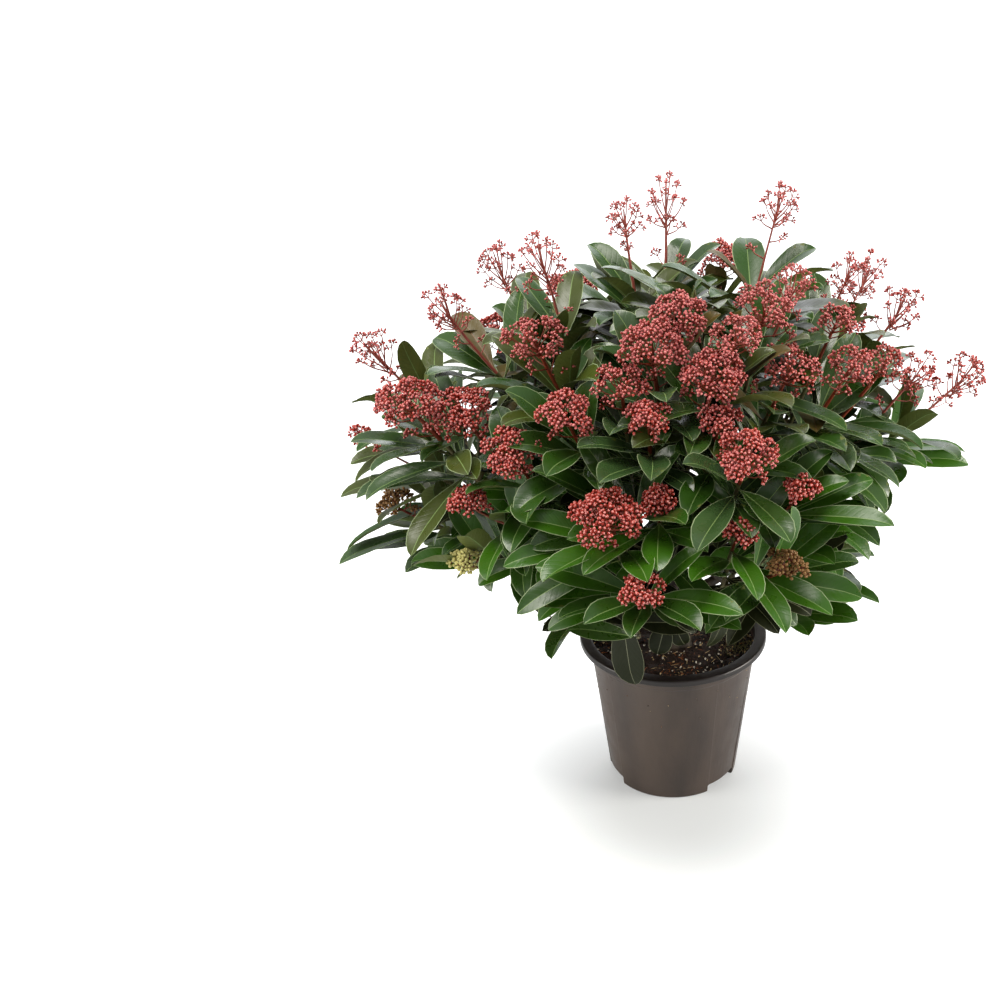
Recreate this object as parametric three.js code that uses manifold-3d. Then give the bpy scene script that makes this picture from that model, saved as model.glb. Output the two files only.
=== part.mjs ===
// A young skimmia, an evergreen shrub in red winter bud, standing in a round nursery pot.
// Millimetres and degrees, +Z up. The origin is the centre of the pot's flat underside, -Y is the
// front and azimuths turn anticlockwise from +X. Tilts are measured from the vertical.
import * as THREE from 'three';
import { mergeVertices } from 'three/addons/utils/BufferGeometryUtils.js';
import Module from 'manifold-3d';

const wasm = await Module();
wasm.setup();

// ---------------------------------------------------------------- driving dimensions

const CLEARANCE = 0.3; // between neighbouring pieces
const MARGIN = 0.45; // how much fatter a twig, head or leaf is made while its room is tested
const GOLDEN_ANGLE = 137.5; // turn from one leaf to the next round a shoot

const POT = {
  height: 162,
  rimRadius: 95,
  footRadius: 66,
  wall: 1.8,
  floor: 3,
  lipHeight: 6.5, // the lip is turned out and down, hollow underneath
  lipDepth: 9,
  collarHeight: 13, // the band under the lip that stands out from the wall
  collarDepth: 1.0,
  collarSlope: 2, // height over which the collar steps out
  edge: 1, // how far its edges are broken
  sides: 32,
};

const NOTCH = {
  count: 3,
  firstAzimuth: -39,
  width: 42,
  height: 7.5,
  corner: 3.5,
  innerRadius: 50, // how far in under the floor it cuts
  curveSegments: 3,
};

const SOIL = {
  level: 150,
  lump: 2.2,
  flatRadius: 26, // the level patch that the stem's foot stands on
  rings: [0.66], // shares of its radius at which its surface has a ring of points
  waves: { x: 0.13, y: 0.17, outward: 0.4 }, // how fast its lumps follow each other, in radians a millimetre
};

const TRUNK = {
  height: 34,
  waistRadius: 13.5,
  headRadius: 17.3,
  flare: 7,
  flareLobes: 5,
  lobeDepth: 0.25, // share of the flare that comes and goes from root to root
  lean: 3,
  sides: 12,
  steps: 4,
};

const LIMB = {
  radius: 5.5,
  forkRadius: 5.2,
  tilt: 54,
  length: 74, // from the heart of the plant to its fork
  leaderLength: 84,
  upturn: 0.9, // share of its tilt that it keeps at its fork
  handle: 0.4, // of its length: how long it holds each end's direction
  sides: 6,
  steps: 3,
};
const BOUGH = {
  radius: 2.1,
  tipRadius: 2.0,
  share: 0.46, // it ends at this share of its mass's reach
  leafyShare: 0.64, // or at this one, where the shoots are short and leafy
  handle: 0.36,
  sides: 5,
  steps: 3,
};
const STEM = { radius: 2.0, knuckleRadius: 3.6, length: 14, sides: 5 };
const SHOOT = {
  radius: 2.1,
  tipRadius: 1.7,
  sink: 4, // how far it starts inside its mass's stem
  handle: 0.35,
  upturn: 0.92,
  leafed: 58, // the length that bears its leaves
  turnSlip: 20, // how far, from end to end of its range, its turn about its mass's axis may slip
  reachSlip: 14,
  sides: 3,
  steps: 4,
};

const LEAF = {
  count: 12, // leaves that a shoot bears
  every: 2, // one in so many is cut as a solid
  youngest: 78,
  oldest: 108,
  width: 0.38, // of its length
  widest: 0.58, // share of its length
  thickest: 0.45, // share of its length
  thickness: 2.2,
  sink: 1.2, // how far past the middle of its twig it is rooted
  fold: 0.2, // rise of each half blade, for each millimetre out from the midrib
  topPitch: 42, // angle between the shoot and its youngest leaf
  lowPitch: 86,
  topBend: 0.26, // radians that the youngest leaf bends down by, from root to tip
  lowBend: 0.52,
  firstTurn: 70,
  slips: { turn: 24, pitch: 16, length: 0.3, bend: 0.3 }, // the range of each leaf's own differences
  skyward: 0.45, // how far its face turns from the way its shoot points to straight up
  sag: 0.18, // what is left of a downward slope once the leaf has turned up to the light
  lengths: [1, 0.86, 0.72], // tried in turn, each at every twist, until a leaf fits its room
  twists: [0, 22, -22, 44, -44],
  stalked: 0.17, // the share of its length, from its root, that may cross its own mass
  overlap: 14, // how far it may lean over into the next mass's room
  roomier: 1.06, // how much wider than the blade its room is
};

// A head of buds is a lumpy body: its side branches stand out and the hollows between them lie deep.
const HEADS = {
  spike: { height: 74, radius: 25, taper: 0.7 },
  dome: { height: 48, radius: 33, taper: 0.8 },
  sizes: [1, 0.85, 0.7, 0.55], // tried in turn until a head fits its room
};
const LUMPS = { around: 6, rings: 4, hollow: 0.36, dip: 0.3 };

const HEART = new THREE.Vector3(0, 0, 170); // the point that every mass reaches out from
const DOME_FALL = 2.6; // reach lost for each degree of tilt within a mass
const SEED = 7;
const STREAMS_PER_MASS = 16; // random streams kept for each mass, one to a shoot

// The limbs that the stem forks into: a leader in the middle and six around it.
const LIMBS = [
  { name: 'leader', azimuth: 0, tilt: 0, length: LIMB.leaderLength },
  { name: 'front', azimuth: -90 },
  { name: 'front_right', azimuth: -30 },
  { name: 'back_right', azimuth: 30 },
  { name: 'back', azimuth: 90 },
  { name: 'back_left', azimuth: 150 },
  { name: 'front_left', azimuth: 210 },
].map((limb) => ({ tilt: LIMB.tilt, length: LIMB.length, ...limb }));

// One row for each mass of foliage, under the limb that bears it: where its middle lies from the heart
// of the plant, and how its shoots stand round that. Reach is to the middle of the flower heads, or to
// the tips of leafy shoots. Turn is where the first shoot stands (0 anticlockwise, 90 up), spread how
// far its shoots stand from the middle, and stalk the bare length below the middle of a head.
const MASSES = Object.entries({
  leader: [
    { name: 'crown_top', azimuth: 133, tilt: 5, reach: 430, turn: 190, spread: 4, stalk: 80, shoots: 2 },
    { name: 'crown_right', azimuth: -23, tilt: 12, reach: 432, turn: -5, spread: 9, stalk: 80 },
    { name: 'crown_front', azimuth: -87, tilt: 22, reach: 390, turn: -45, spread: 5, stalk: 50 },
    { name: 'crown_back', azimuth: 90, tilt: 24, reach: 355, turn: 30, spread: 9, stalk: 50 },
  ],
  front: [
    { name: 'front_mid', azimuth: -102, tilt: 34, reach: 355, turn: 30, spread: 6, stalk: 45 },
    { name: 'front_low', azimuth: -99, tilt: 47, reach: 322, turn: 55, spread: 6, stalk: 40 },
    { name: 'front_high', azimuth: -119, tilt: 24, reach: 385, turn: 175, spread: 8, stalk: 60, shoots: 2 },
  ],
  front_right: [
    { name: 'right_mid', azimuth: -72, tilt: 37, reach: 350, turn: -60, spread: 6, stalk: 45 },
    { name: 'right_low', azimuth: -67, tilt: 48, reach: 320, turn: 45, spread: 7, stalk: 40 },
    { name: 'right_high', azimuth: -58, tilt: 25, reach: 388, turn: -40, spread: 5, stalk: 55 },
    { name: 'skirt_right', azimuth: -24, tilt: 50, reach: 188, turn: 90, spread: 20, stalk: 0 },
  ],
  back_right: [
    { name: 'right_side', azimuth: -28, tilt: 29, reach: 380, turn: 76, spread: 5, stalk: 65 },
    { name: 'right_out', azimuth: -3, tilt: 43, reach: 390, turn: -40, spread: 5, stalk: 85, shoots: 2 },
    { name: 'right_top', azimuth: 12, tilt: 29, reach: 395, turn: 100, spread: 5, stalk: 75 },
    { name: 'back_right', azimuth: 50, tilt: 40, reach: 335, turn: 30, spread: 9, stalk: 50 },
  ],
  back: [
    { name: 'back_mid', azimuth: 92, tilt: 42, reach: 335, turn: 50, spread: 9, stalk: 50 },
    { name: 'skirt_back_right', azimuth: 45, tilt: 58, reach: 180, turn: 90, spread: 22, stalk: 0 },
  ],
  back_left: [
    { name: 'back_left', azimuth: 135, tilt: 38, reach: 345, turn: 20, spread: 9, stalk: 50 },
    { name: 'left_top', azimuth: 180, tilt: 25, reach: 402, turn: 55, spread: 9, stalk: 75 },
    { name: 'skirt_back_left', azimuth: 135, tilt: 58, reach: 195, turn: 90, spread: 22, stalk: 0 },
  ],
  front_left: [
    { name: 'left_out', azimuth: -175, tilt: 47, reach: 385, turn: 90, spread: 6, stalk: 75, shoots: 2 },
    { name: 'left_mid', azimuth: -142, tilt: 41, reach: 346, turn: 25, spread: 8, stalk: 50 },
    { name: 'left_low', azimuth: -158, tilt: 54, reach: 326, turn: 85, spread: 12, stalk: 45 },
    { name: 'skirt_front', azimuth: -122, tilt: 52, reach: 186, turn: 90, spread: 20, stalk: 0 },
  ],
}).flatMap(([limb, rows]) => rows.map((row) => ({ limb, ...row })));
const SHOOTS_PER_MASS = 3;
const SPIKE_STALK = 70; // heads on stalks at least this long are open spikes, the others are domes

const COLOURS = {
  pot: 0x57504b,
  soil: 0x2c2019,
  bark: 0x5f5138,
  leaves: [0x2f5e26, 0x3b6a2a, 0x4a6330],
};

// ---------------------------------------------------------------- shaping solids

const rad = THREE.MathUtils.degToRad;
const deg = THREE.MathUtils.radToDeg;
const mix = THREE.MathUtils.lerp;
const UP = new THREE.Vector3(0, 0, 1);

/** A repeatable stream of numbers from 0 to 1. */
function randomStream(seed) {
  let state = Math.imul(seed + 1, 2654435761) >>> 0;
  return () => {
    state = (Math.imul(state, 1664525) + 1013904223) >>> 0;
    return state / 2 ** 32;
  };
}

/** A closed blank: shared vertices merged, and the faces that collapse on an axis left out. */
function closedBlank(geometry) {
  geometry.deleteAttribute('normal');
  geometry.deleteAttribute('uv');
  const merged = mergeVertices(geometry, 1e-4);
  const faces = [];
  for (let i = 0; i < merged.index.count; i += 3) {
    const [a, b, c] = [0, 1, 2].map((corner) => merged.index.getX(i + corner));
    if (a !== b && b !== c && c !== a) faces.push(a, b, c);
  }
  merged.setIndex(faces);
  return merged;
}

/** The solid of a blank, each of its vertices moved by move(vertex). */
function shaped(blank, move = (vertex) => vertex) {
  const position = blank.getAttribute('position');
  const vertProperties = new Float32Array(position.count * 3);
  for (let i = 0; i < position.count; i += 1) {
    move(new THREE.Vector3().fromBufferAttribute(position, i)).toArray(vertProperties, i * 3);
  }
  const triVerts = Uint32Array.from(blank.index.array);
  return new wasm.Manifold(new wasm.Mesh({ numProp: 3, vertProperties, triVerts }));
}

/** The shell of largest volume in a solid: loose scraps go and sealed hollows are filled. */
function largestShell(solid) {
  const { vertProperties, triVerts } = solid.getMesh();
  const root = Array.from({ length: vertProperties.length / 3 }, (_, vertex) => vertex);
  const find = (vertex) => {
    let top = vertex;
    while (root[top] !== top) top = root[top];
    root[vertex] = top;
    return top;
  };
  for (let i = 0; i < triVerts.length; i += 3) {
    root[find(triVerts[i])] = find(triVerts[i + 1]);
    root[find(triVerts[i + 1])] = find(triVerts[i + 2]);
  }
  const corner = (vertex) => new THREE.Vector3().fromArray(vertProperties, vertex * 3);
  const shells = new Map();
  for (let i = 0; i < triVerts.length; i += 3) {
    const [a, b, c] = triVerts.slice(i, i + 3);
    const shell = shells.get(find(a)) ?? { faces: [], volume: 0 };
    shell.faces.push(a, b, c);
    shell.volume += corner(a).dot(corner(b).cross(corner(c))) / 6;
    shells.set(find(a), shell);
  }
  const largest = [...shells.values()].reduce((best, shell) => (shell.volume > best.volume ? shell : best));
  const geometry = new THREE.BufferGeometry();
  geometry.setAttribute('position', new THREE.BufferAttribute(vertProperties, 3));
  geometry.setIndex(largest.faces);
  return closedBlank(geometry.toNonIndexed());
}

/** A named mesh of a solid's largest shell, with its origin moved to the given point. */
function meshOf(name, solid, origin, color, roughness = 0.8) {
  const geometry = largestShell(solid);
  geometry.translate(-origin.x, -origin.y, -origin.z);
  const mesh = new THREE.Mesh(geometry, new THREE.MeshStandardMaterial({ color, roughness, metalness: 0 }));
  mesh.name = name;
  mesh.position.copy(origin);
  return mesh;
}

/** A tapering round limb along a curve, with flat ends square to it. */
function tube(curve, radius, tipRadius, sides, steps) {
  const blank = closedBlank(new THREE.CylinderGeometry(1, 1, 1, sides, steps));
  const frames = curve.computeFrenetFrames(steps);
  return shaped(blank, (vertex) => {
    const along = vertex.y + 0.5;
    const ring = Math.round(along * steps);
    const width = mix(radius, tipRadius, along);
    return curve.getPointAt(ring / steps)
      .addScaledVector(frames.normals[ring], vertex.x * width)
      .addScaledVector(frames.binormals[ring], -vertex.z * width);
  });
}

/** The unit vector at an azimuth and a tilt. */
function direction(azimuth, tilt) {
  const flat = Math.sin(rad(tilt));
  return new THREE.Vector3(flat * Math.cos(rad(azimuth)), flat * Math.sin(rad(azimuth)), Math.cos(rad(tilt)));
}

/** Two unit vectors square to an axis and to each other: one level, one rising. */
function across(axis) {
  const level = Math.hypot(axis.x, axis.y) > 1e-6
    ? new THREE.Vector3(-axis.y, axis.x, 0).normalize()
    : new THREE.Vector3(1, 0, 0);
  return { level, rise: axis.clone().cross(level) };
}

/** The unit vector that leans off an axis by an angle, towards the given turn about it. */
function leaning(axis, turn, angle) {
  const { level, rise } = across(axis);
  return axis.clone().multiplyScalar(Math.cos(rad(angle)))
    .addScaledVector(level, Math.sin(rad(angle)) * Math.cos(rad(turn)))
    .addScaledVector(rise, Math.sin(rad(angle)) * Math.sin(rad(turn)));
}

/** A smooth curve that leaves one point along a direction and arrives at another along a second. */
function sweep(start, leaving, end, arriving, handle) {
  const reach = start.distanceTo(end) * handle;
  return new THREE.CubicBezierCurve3(
    start,
    start.clone().addScaledVector(leaving, reach),
    end.clone().addScaledVector(arriving, -reach),
    end,
  );
}

// ---------------------------------------------------------------- pot, soil and stem

function lathed(profile, sides) {
  const points = profile.map(([radius, height]) => new THREE.Vector2(radius, height));
  return closedBlank(new THREE.LatheGeometry(points, sides).rotateX(Math.PI / 2));
}

const wallTop = POT.height - POT.lipHeight;
const wallTopRadius = POT.rimRadius - POT.lipDepth - POT.collarDepth;
const outerRadius = (height) => mix(POT.footRadius, wallTopRadius, height / wallTop);
const innerRadius = (height) => outerRadius(height) - POT.wall;

function notchCutter(azimuth) {
  const half = NOTCH.width / 2;
  const shape = new THREE.Shape();
  shape.moveTo(-half, -1);
  shape.lineTo(half, -1);
  shape.lineTo(half, NOTCH.height - NOTCH.corner);
  shape.absarc(half - NOTCH.corner, NOTCH.height - NOTCH.corner, NOTCH.corner, 0, Math.PI / 2);
  shape.lineTo(NOTCH.corner - half, NOTCH.height);
  shape.absarc(NOTCH.corner - half, NOTCH.height - NOTCH.corner, NOTCH.corner, Math.PI / 2, Math.PI);
  const depth = POT.rimRadius - NOTCH.innerRadius;
  const { curveSegments } = NOTCH;
  const cutter = new THREE.ExtrudeGeometry(shape, { depth, bevelEnabled: false, curveSegments });
  cutter.rotateX(Math.PI / 2).translate(0, POT.rimRadius, 0).rotateZ(rad(azimuth - 90));
  return shaped(closedBlank(cutter));
}

function makePot() {
  const collarBottom = wallTop - POT.collarHeight;
  const profile = [
    [0, 0],
    [POT.footRadius - POT.edge, 0],
    [POT.footRadius, POT.edge],
    [outerRadius(collarBottom), collarBottom],
    [outerRadius(collarBottom) + POT.collarDepth, collarBottom + POT.collarSlope],
    [wallTopRadius + POT.collarDepth, POT.height - POT.wall],
    [POT.rimRadius - POT.wall, POT.height - POT.wall],
    [POT.rimRadius - POT.wall, wallTop],
    [POT.rimRadius, wallTop],
    [POT.rimRadius, POT.height - POT.edge],
    [POT.rimRadius - POT.edge, POT.height],
    [innerRadius(wallTop) + POT.edge, POT.height],
    [innerRadius(wallTop), wallTop],
    [innerRadius(POT.floor), POT.floor],
    [0, POT.floor],
  ];
  let pot = shaped(lathed(profile, POT.sides));
  for (let i = 0; i < NOTCH.count; i += 1) {
    pot = pot.subtract(notchCutter(NOTCH.firstAzimuth + (360 / NOTCH.count) * i));
  }
  return pot;
}

function makeSoil() {
  const bottom = POT.floor + CLEARANCE;
  const edge = (height) => innerRadius(height - SOIL.lump) - CLEARANCE;
  const rings = SOIL.rings.map((share) => [edge(SOIL.level) * share, SOIL.level]);
  const profile = [
    [0, bottom],
    [edge(bottom), bottom],
    [edge(SOIL.level), SOIL.level],
    ...rings,
    [SOIL.flatRadius, SOIL.level],
    [0, SOIL.level],
  ];
  return shaped(lathed(profile, POT.sides), (vertex) => {
    const radius = Math.hypot(vertex.x, vertex.y);
    const loose = vertex.z > bottom + 1 && radius > SOIL.flatRadius + 1;
    const { x, y, outward } = SOIL.waves;
    const lumps = Math.sin(vertex.x * x + 1) * Math.cos(vertex.y * y) + Math.sin(radius * outward);
    return loose ? vertex.setZ(vertex.z - (SOIL.lump / 2) * (1 - lumps / 2)) : vertex;
  });
}

const trunkFoot = new THREE.Vector3(0, 0, SOIL.level + CLEARANCE);
const trunkHead = new THREE.Vector3(0, TRUNK.lean, trunkFoot.z + TRUNK.height);

function makeTrunk() {
  const blank = closedBlank(new THREE.CylinderGeometry(1, 1, 1, TRUNK.sides, TRUNK.steps));
  return shaped(blank.rotateX(Math.PI / 2), (vertex) => {
    const along = vertex.z + 0.5;
    const lobes = 1 + TRUNK.lobeDepth * Math.cos(TRUNK.flareLobes * Math.atan2(vertex.y, vertex.x));
    const flare = TRUNK.flare * lobes * (1 - along) ** 3;
    const radius = mix(TRUNK.waistRadius, TRUNK.headRadius, along ** 2) + flare;
    const centre = trunkFoot.clone().lerp(trunkHead, along);
    return centre.add(new THREE.Vector3(vertex.x * radius, vertex.y * radius, 0));
  });
}

// ---------------------------------------------------------------- limbs and boughs

/** Seats for limbs on the flat end of the one that bears them, each on the side it grows towards. */
function seats(end, axis, targets, offset, middle = 0) {
  const { level, rise } = across(axis);
  const angles = targets.map((target) => {
    const way = target.clone().sub(end);
    return deg(Math.atan2(way.dot(rise), way.dot(level)));
  });
  const ringed = targets.length - middle;
  const order = angles.map((_, i) => i).slice(middle).sort((i, j) => angles[i] - angles[j]);
  const slot = 360 / ringed;
  const slips = order.map((i, rank) => rad(angles[i] - slot * rank));
  const sum = (values) => values.reduce((total, value) => total + value, 0);
  const first = deg(Math.atan2(sum(slips.map(Math.sin)), sum(slips.map(Math.cos))));
  return targets.map((_, i) => {
    const seat = end.clone().addScaledVector(axis, CLEARANCE);
    if (i < middle) return seat;
    const turn = rad(first + slot * order.indexOf(i));
    const aside = level.clone().multiplyScalar(Math.cos(turn)).addScaledVector(rise, Math.sin(turn));
    return seat.addScaledVector(aside, offset);
  });
}

/** The point at an azimuth, a tilt and a reach from the heart of the plant. */
function fromHeart({ azimuth, tilt }, reach) {
  return HEART.clone().addScaledVector(direction(azimuth, tilt), reach);
}

/** Where a mass begins: the tip of its bough. */
function massBase(row) {
  return fromHeart(row, row.reach * (row.stalk > 0 ? BOUGH.share : BOUGH.leafyShare));
}

function planLimbs() {
  const forks = LIMBS.map((limb) => fromHeart(limb, limb.length));
  const ring = 2 * LIMB.radius + 2 * CLEARANCE;
  const roots = seats(trunkHead, UP, forks, ring, 1);
  return LIMBS.map((limb, i) => {
    const axis = direction(limb.azimuth, limb.tilt * LIMB.upturn);
    return { ...limb, axis, fork: forks[i], curve: sweep(roots[i], UP, forks[i], axis, LIMB.handle) };
  });
}

function planBoughs(limbs) {
  return limbs.flatMap((limb) => {
    const rows = MASSES.filter((row) => row.limb === limb.name);
    const bases = rows.map(massBase);
    const offset = (BOUGH.radius + CLEARANCE / 2) / Math.sin(Math.PI / rows.length);
    const roots = seats(limb.fork, limb.axis, bases, offset);
    return rows.map((row, i) => {
      const axis = direction(row.azimuth, row.tilt);
      return { row, axis, tip: bases[i], curve: sweep(roots[i], limb.axis, bases[i], axis, BOUGH.handle) };
    });
  });
}

// ---------------------------------------------------------------- shoots, heads and leaves

/** The shoots of a mass: each a curve from the mass's stem to its tip, and how its tip is furnished. */
function planShoots({ row, axis, tip }, massIndex) {
  const start = tip.clone().addScaledVector(axis, CLEARANCE + STEM.length - SHOOT.sink);
  const { shoots = SHOOTS_PER_MASS } = row;
  return Array.from({ length: shoots }, (_, k) => {
    const random = randomStream(SEED + massIndex * STREAMS_PER_MASS + k);
    const turn = row.turn + (360 / shoots) * k + SHOOT.turnSlip * (random() - 0.5);
    const heading = leaning(axis, turn, row.spread);
    const tilt = deg(heading.angleTo(UP));
    const reach = row.reach + DOME_FALL * (row.tilt - tilt) + SHOOT.reachSlip * (random() - 0.5);
    const facing = direction(deg(Math.atan2(heading.y, heading.x)), tilt * SHOOT.upturn);
    const style = row.stalk >= SPIKE_STALK ? HEADS.spike : HEADS.dome;
    const head = row.stalk > 0 ? style : null;
    const end = HEART.clone().addScaledVector(heading, reach);
    const leaving = end.clone().sub(start).normalize();
    const curve = sweep(start, leaving, end, facing, SHOOT.handle);
    return {
      owner: row.name,
      curve,
      length: curve.getLength(),
      facing,
      head,
      random,
      phase: random() * 360,
      bare: row.stalk,
    };
  });
}

/** The point on a shoot that lies a given length back from its tip. */
function backFromTip(shoot, distance) {
  return shoot.curve.getPoint(Math.max(0, 1 - distance / shoot.length));
}

/** The leaves of a shoot, from the youngest at the top to the oldest. */
function planLeaves(shoot) {
  const above = shoot.facing.clone().lerp(UP, LEAF.skyward);
  return Array.from({ length: LEAF.count }, (_, i) => {
    const slip = (range) => range * (shoot.random() - 0.5);
    const age = i / (LEAF.count - 1);
    const turn = shoot.phase + LEAF.firstTurn + GOLDEN_ANGLE * i + slip(LEAF.slips.turn);
    const pitch = mix(LEAF.topPitch, LEAF.lowPitch, age) + slip(LEAF.slips.pitch);
    const way = leaning(shoot.facing, turn, pitch);
    way.z *= way.z < 0 ? LEAF.sag : 1;
    way.normalize();
    return {
      root: backFromTip(shoot, shoot.bare + SHOOT.leafed * age),
      axis: shoot.facing,
      way,
      normal: above.clone().addScaledVector(way, -above.dot(way)).normalize(),
      length: mix(LEAF.youngest, LEAF.oldest, age) * (1 + slip(LEAF.slips.length)),
      bend: mix(LEAF.topBend, LEAF.lowBend, age) + slip(LEAF.slips.bend),
    };
  });
}

const HEAD_BLANK = closedBlank(new THREE.SphereGeometry(1, LUMPS.around, LUMPS.rings));
const LEAF_BLANK = closedBlank(new THREE.SphereGeometry(1, 4, 2));
const LEAF_ROOM = closedBlank(new THREE.CylinderGeometry(1, 1, 2, 4, 1, false, Math.PI / 2));

/** A head of buds at the tip of a shoot, its lumps set chequerwise round it and one on top. */
function headSolid({ head, curve, facing, phase }, size, margin = 0) {
  const { level, rise } = across(facing);
  return shaped(HEAD_BLANK, ({ x, y, z }) => {
    const column = Math.round(Math.atan2(z, x) / ((2 * Math.PI) / LUMPS.around));
    const row = Math.round(Math.acos(THREE.MathUtils.clamp(y, -1, 1)) / (Math.PI / LUMPS.rings));
    const pole = Math.abs(y) > 0.99;
    const out = (pole ? y > 0 : (column + row) % 2 === 0) ? 1 : LUMPS.hollow;
    const width = size * mix(head.radius, head.radius * head.taper, (y + 1) / 2) * out + margin;
    const turn = Math.atan2(z, x) - rad(phase);
    const flat = Math.hypot(x, z);
    return curve.v3.clone()
      .addScaledVector(facing, y * ((size * head.height / 2) * (pole ? 1 : mix(1, out, LUMPS.dip)) + margin))
      .addScaledVector(level, flat * width * Math.cos(turn))
      .addScaledVector(rise, -flat * width * Math.sin(turn));
  });
}

/** A leaf turned aside about its shoot. */
function turnedAside(leaf, twist) {
  const [way, normal] = [leaf.way, leaf.normal].map((v) => v.clone().applyAxisAngle(leaf.axis, rad(twist)));
  return { ...leaf, way, normal };
}

/** A leaf: a kite-shaped blade, folded along its midrib and bent down towards its tip. */
function leafSolid(leaf, scale) {
  return shaped(LEAF_BLANK, ({ x, y, z }) => {
    const share = x < -0.5 ? 0 : x > 0.5 ? 1 : Math.abs(z) > 0.5 ? LEAF.widest : LEAF.thickest;
    return leafPoint(leaf, scale, share, z, (y * LEAF.thickness) / 2);
  });
}

/** The room that a leaf needs, from a share of its length to its tip. */
function leafRoom(leaf, scale, from) {
  return shaped(LEAF_ROOM, ({ x, y, z }) => {
    const middle = Math.hypot(x, z) < 0.1;
    const share = mix(from, 1, x < -0.5 ? 0 : x > 0.5 ? 1 : LEAF.widest);
    const thick = MARGIN + (middle ? LEAF.thickness / 2 : 0);
    const broad = Math.abs(z) > 0.5 ? Math.sign(z) * LEAF.roomier : 0;
    return leafPoint(leaf, scale, share, broad, y * thick);
  });
}

/** A point of a leaf at a share of its length, a share of its half width and a height over its blade. */
function leafPoint(leaf, scale, share, broad, height) {
  const length = leaf.length * scale;
  const wide = (broad * length * LEAF.width) / 2;
  const angle = leaf.bend * share;
  const lift = Math.abs(wide) * LEAF.fold + height;
  const side = leaf.way.clone().cross(leaf.normal);
  return leaf.root.clone()
    .addScaledVector(leaf.way, (length * Math.sin(angle)) / leaf.bend + lift * Math.sin(angle) - LEAF.sink)
    .addScaledVector(leaf.normal, lift * Math.cos(angle) - (length * (1 - Math.cos(angle))) / leaf.bend)
    .addScaledVector(side, wide);
}

// ---------------------------------------------------------------- room for each piece

const placed = []; // every solid so far, with the mass or piece that owns it

function place(owner, kind, solid) {
  const { min, max } = solid.boundingBox();
  const box = new THREE.Box3(new THREE.Vector3(...min), new THREE.Vector3(...max));
  placed.push({ owner, kind, solid, box });
  return solid;
}

/** Whether a fattened solid stays clear of the placed solids that a test picks out. */
function isClear(solid, picks) {
  const { min, max } = solid.boundingBox();
  const box = new THREE.Box3(new THREE.Vector3(...min), new THREE.Vector3(...max));
  return placed.every((other) => (
    !picks(other) || !other.box.intersectsBox(box) || other.solid.intersect(solid).isEmpty()
  ));
}

/** Whether a point lies in its own mass's room: nearer its shoots' leafy parts than any other mass's. */
function inOwnRoom(owner, point, sites) {
  const nearest = (own) => Math.min(
    ...sites.filter((site) => (site.owner === owner) === own).map((site) => site.point.distanceTo(point)),
  );
  return nearest(true) < nearest(false) + LEAF.overlap;
}

function growCrown(boughs) {
  const shoots = boughs.flatMap((bough, index) => {
    const stem = new THREE.LineCurve3(
      bough.tip.clone().addScaledVector(bough.axis, CLEARANCE),
      bough.tip.clone().addScaledVector(bough.axis, CLEARANCE + STEM.length),
    );
    place(bough.row.name, 'twig', tube(stem, STEM.radius, STEM.knuckleRadius, STEM.sides, 1));
    return planShoots(bough, index);
  });
  const { radius, tipRadius, sides, steps } = SHOOT;
  const grown = shoots.filter((shoot) => {
    const room = tube(shoot.curve, radius + MARGIN, tipRadius + MARGIN, sides, steps);
    const clear = isClear(room, (other) => other.owner !== shoot.owner);
    if (clear) shoot.twig = place(shoot.owner, 'twig', tube(shoot.curve, radius, tipRadius, sides, steps));
    return clear;
  });
  for (const shoot of grown.filter(({ head }) => head)) {
    const others = (other) => other.solid !== shoot.twig;
    const size = HEADS.sizes.find((share) => isClear(headSolid(shoot, share, MARGIN), others));
    if (size) place(shoot.owner, 'head', headSolid(shoot, size));
  }
  const sites = grown.map((shoot) => ({
    owner: shoot.owner,
    point: backFromTip(shoot, shoot.bare + SHOOT.leafed / 2),
  }));
  const leaves = grown.map((shoot) => ({ shoot, plan: planLeaves(shoot) }));
  for (let i = 0; i < LEAF.count; i += LEAF.every) {
    for (const { shoot, plan } of leaves) {
      const fit = fittedLeaf(shoot.owner, plan[i], sites);
      if (fit) place(shoot.owner, 'leaf', fit);
    }
  }
}

/** The first of a leaf's lengths and twists at which it fits, as a solid. */
function fittedLeaf(owner, leaf, sites) {
  for (const scale of LEAF.lengths) {
    for (const twist of LEAF.twists) {
      const turned = turnedAside(leaf, twist);
      const fits = inOwnRoom(owner, leafPoint(turned, scale, 1, 0, 0), sites)
        && isClear(leafRoom(turned, scale, 0), (other) => other.owner !== owner)
        && isClear(leafRoom(turned, scale, LEAF.stalked), (other) => other.owner === owner);
      if (fits) return leafSolid(turned, scale);
    }
  }
  return null;
}

// ---------------------------------------------------------------- the plant in its pot

const group = new THREE.Group();
const ORIGIN = new THREE.Vector3();

const container = new THREE.Group();
const pot = makePot();
const soil = makeSoil();
container.add(meshOf('pot', pot, ORIGIN, COLOURS.pot, 0.45));
container.add(meshOf('soil', soil, new THREE.Vector3(0, 0, POT.floor), COLOURS.soil, 0.95));
place('pot', 'pot', pot);
place('soil', 'soil', soil);

const wood = new THREE.Group();
const trunk = makeTrunk();
wood.add(meshOf('trunk', trunk, trunkFoot, COLOURS.bark));
place('trunk', 'limb', trunk);

const limbs = planLimbs();
for (const limb of limbs) {
  const solid = tube(limb.curve, LIMB.radius, LIMB.forkRadius, LIMB.sides, LIMB.steps);
  wood.add(meshOf(`limb_${limb.name}`, solid, limb.curve.v0, COLOURS.bark));
  place(`limb_${limb.name}`, 'limb', solid);
}

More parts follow.
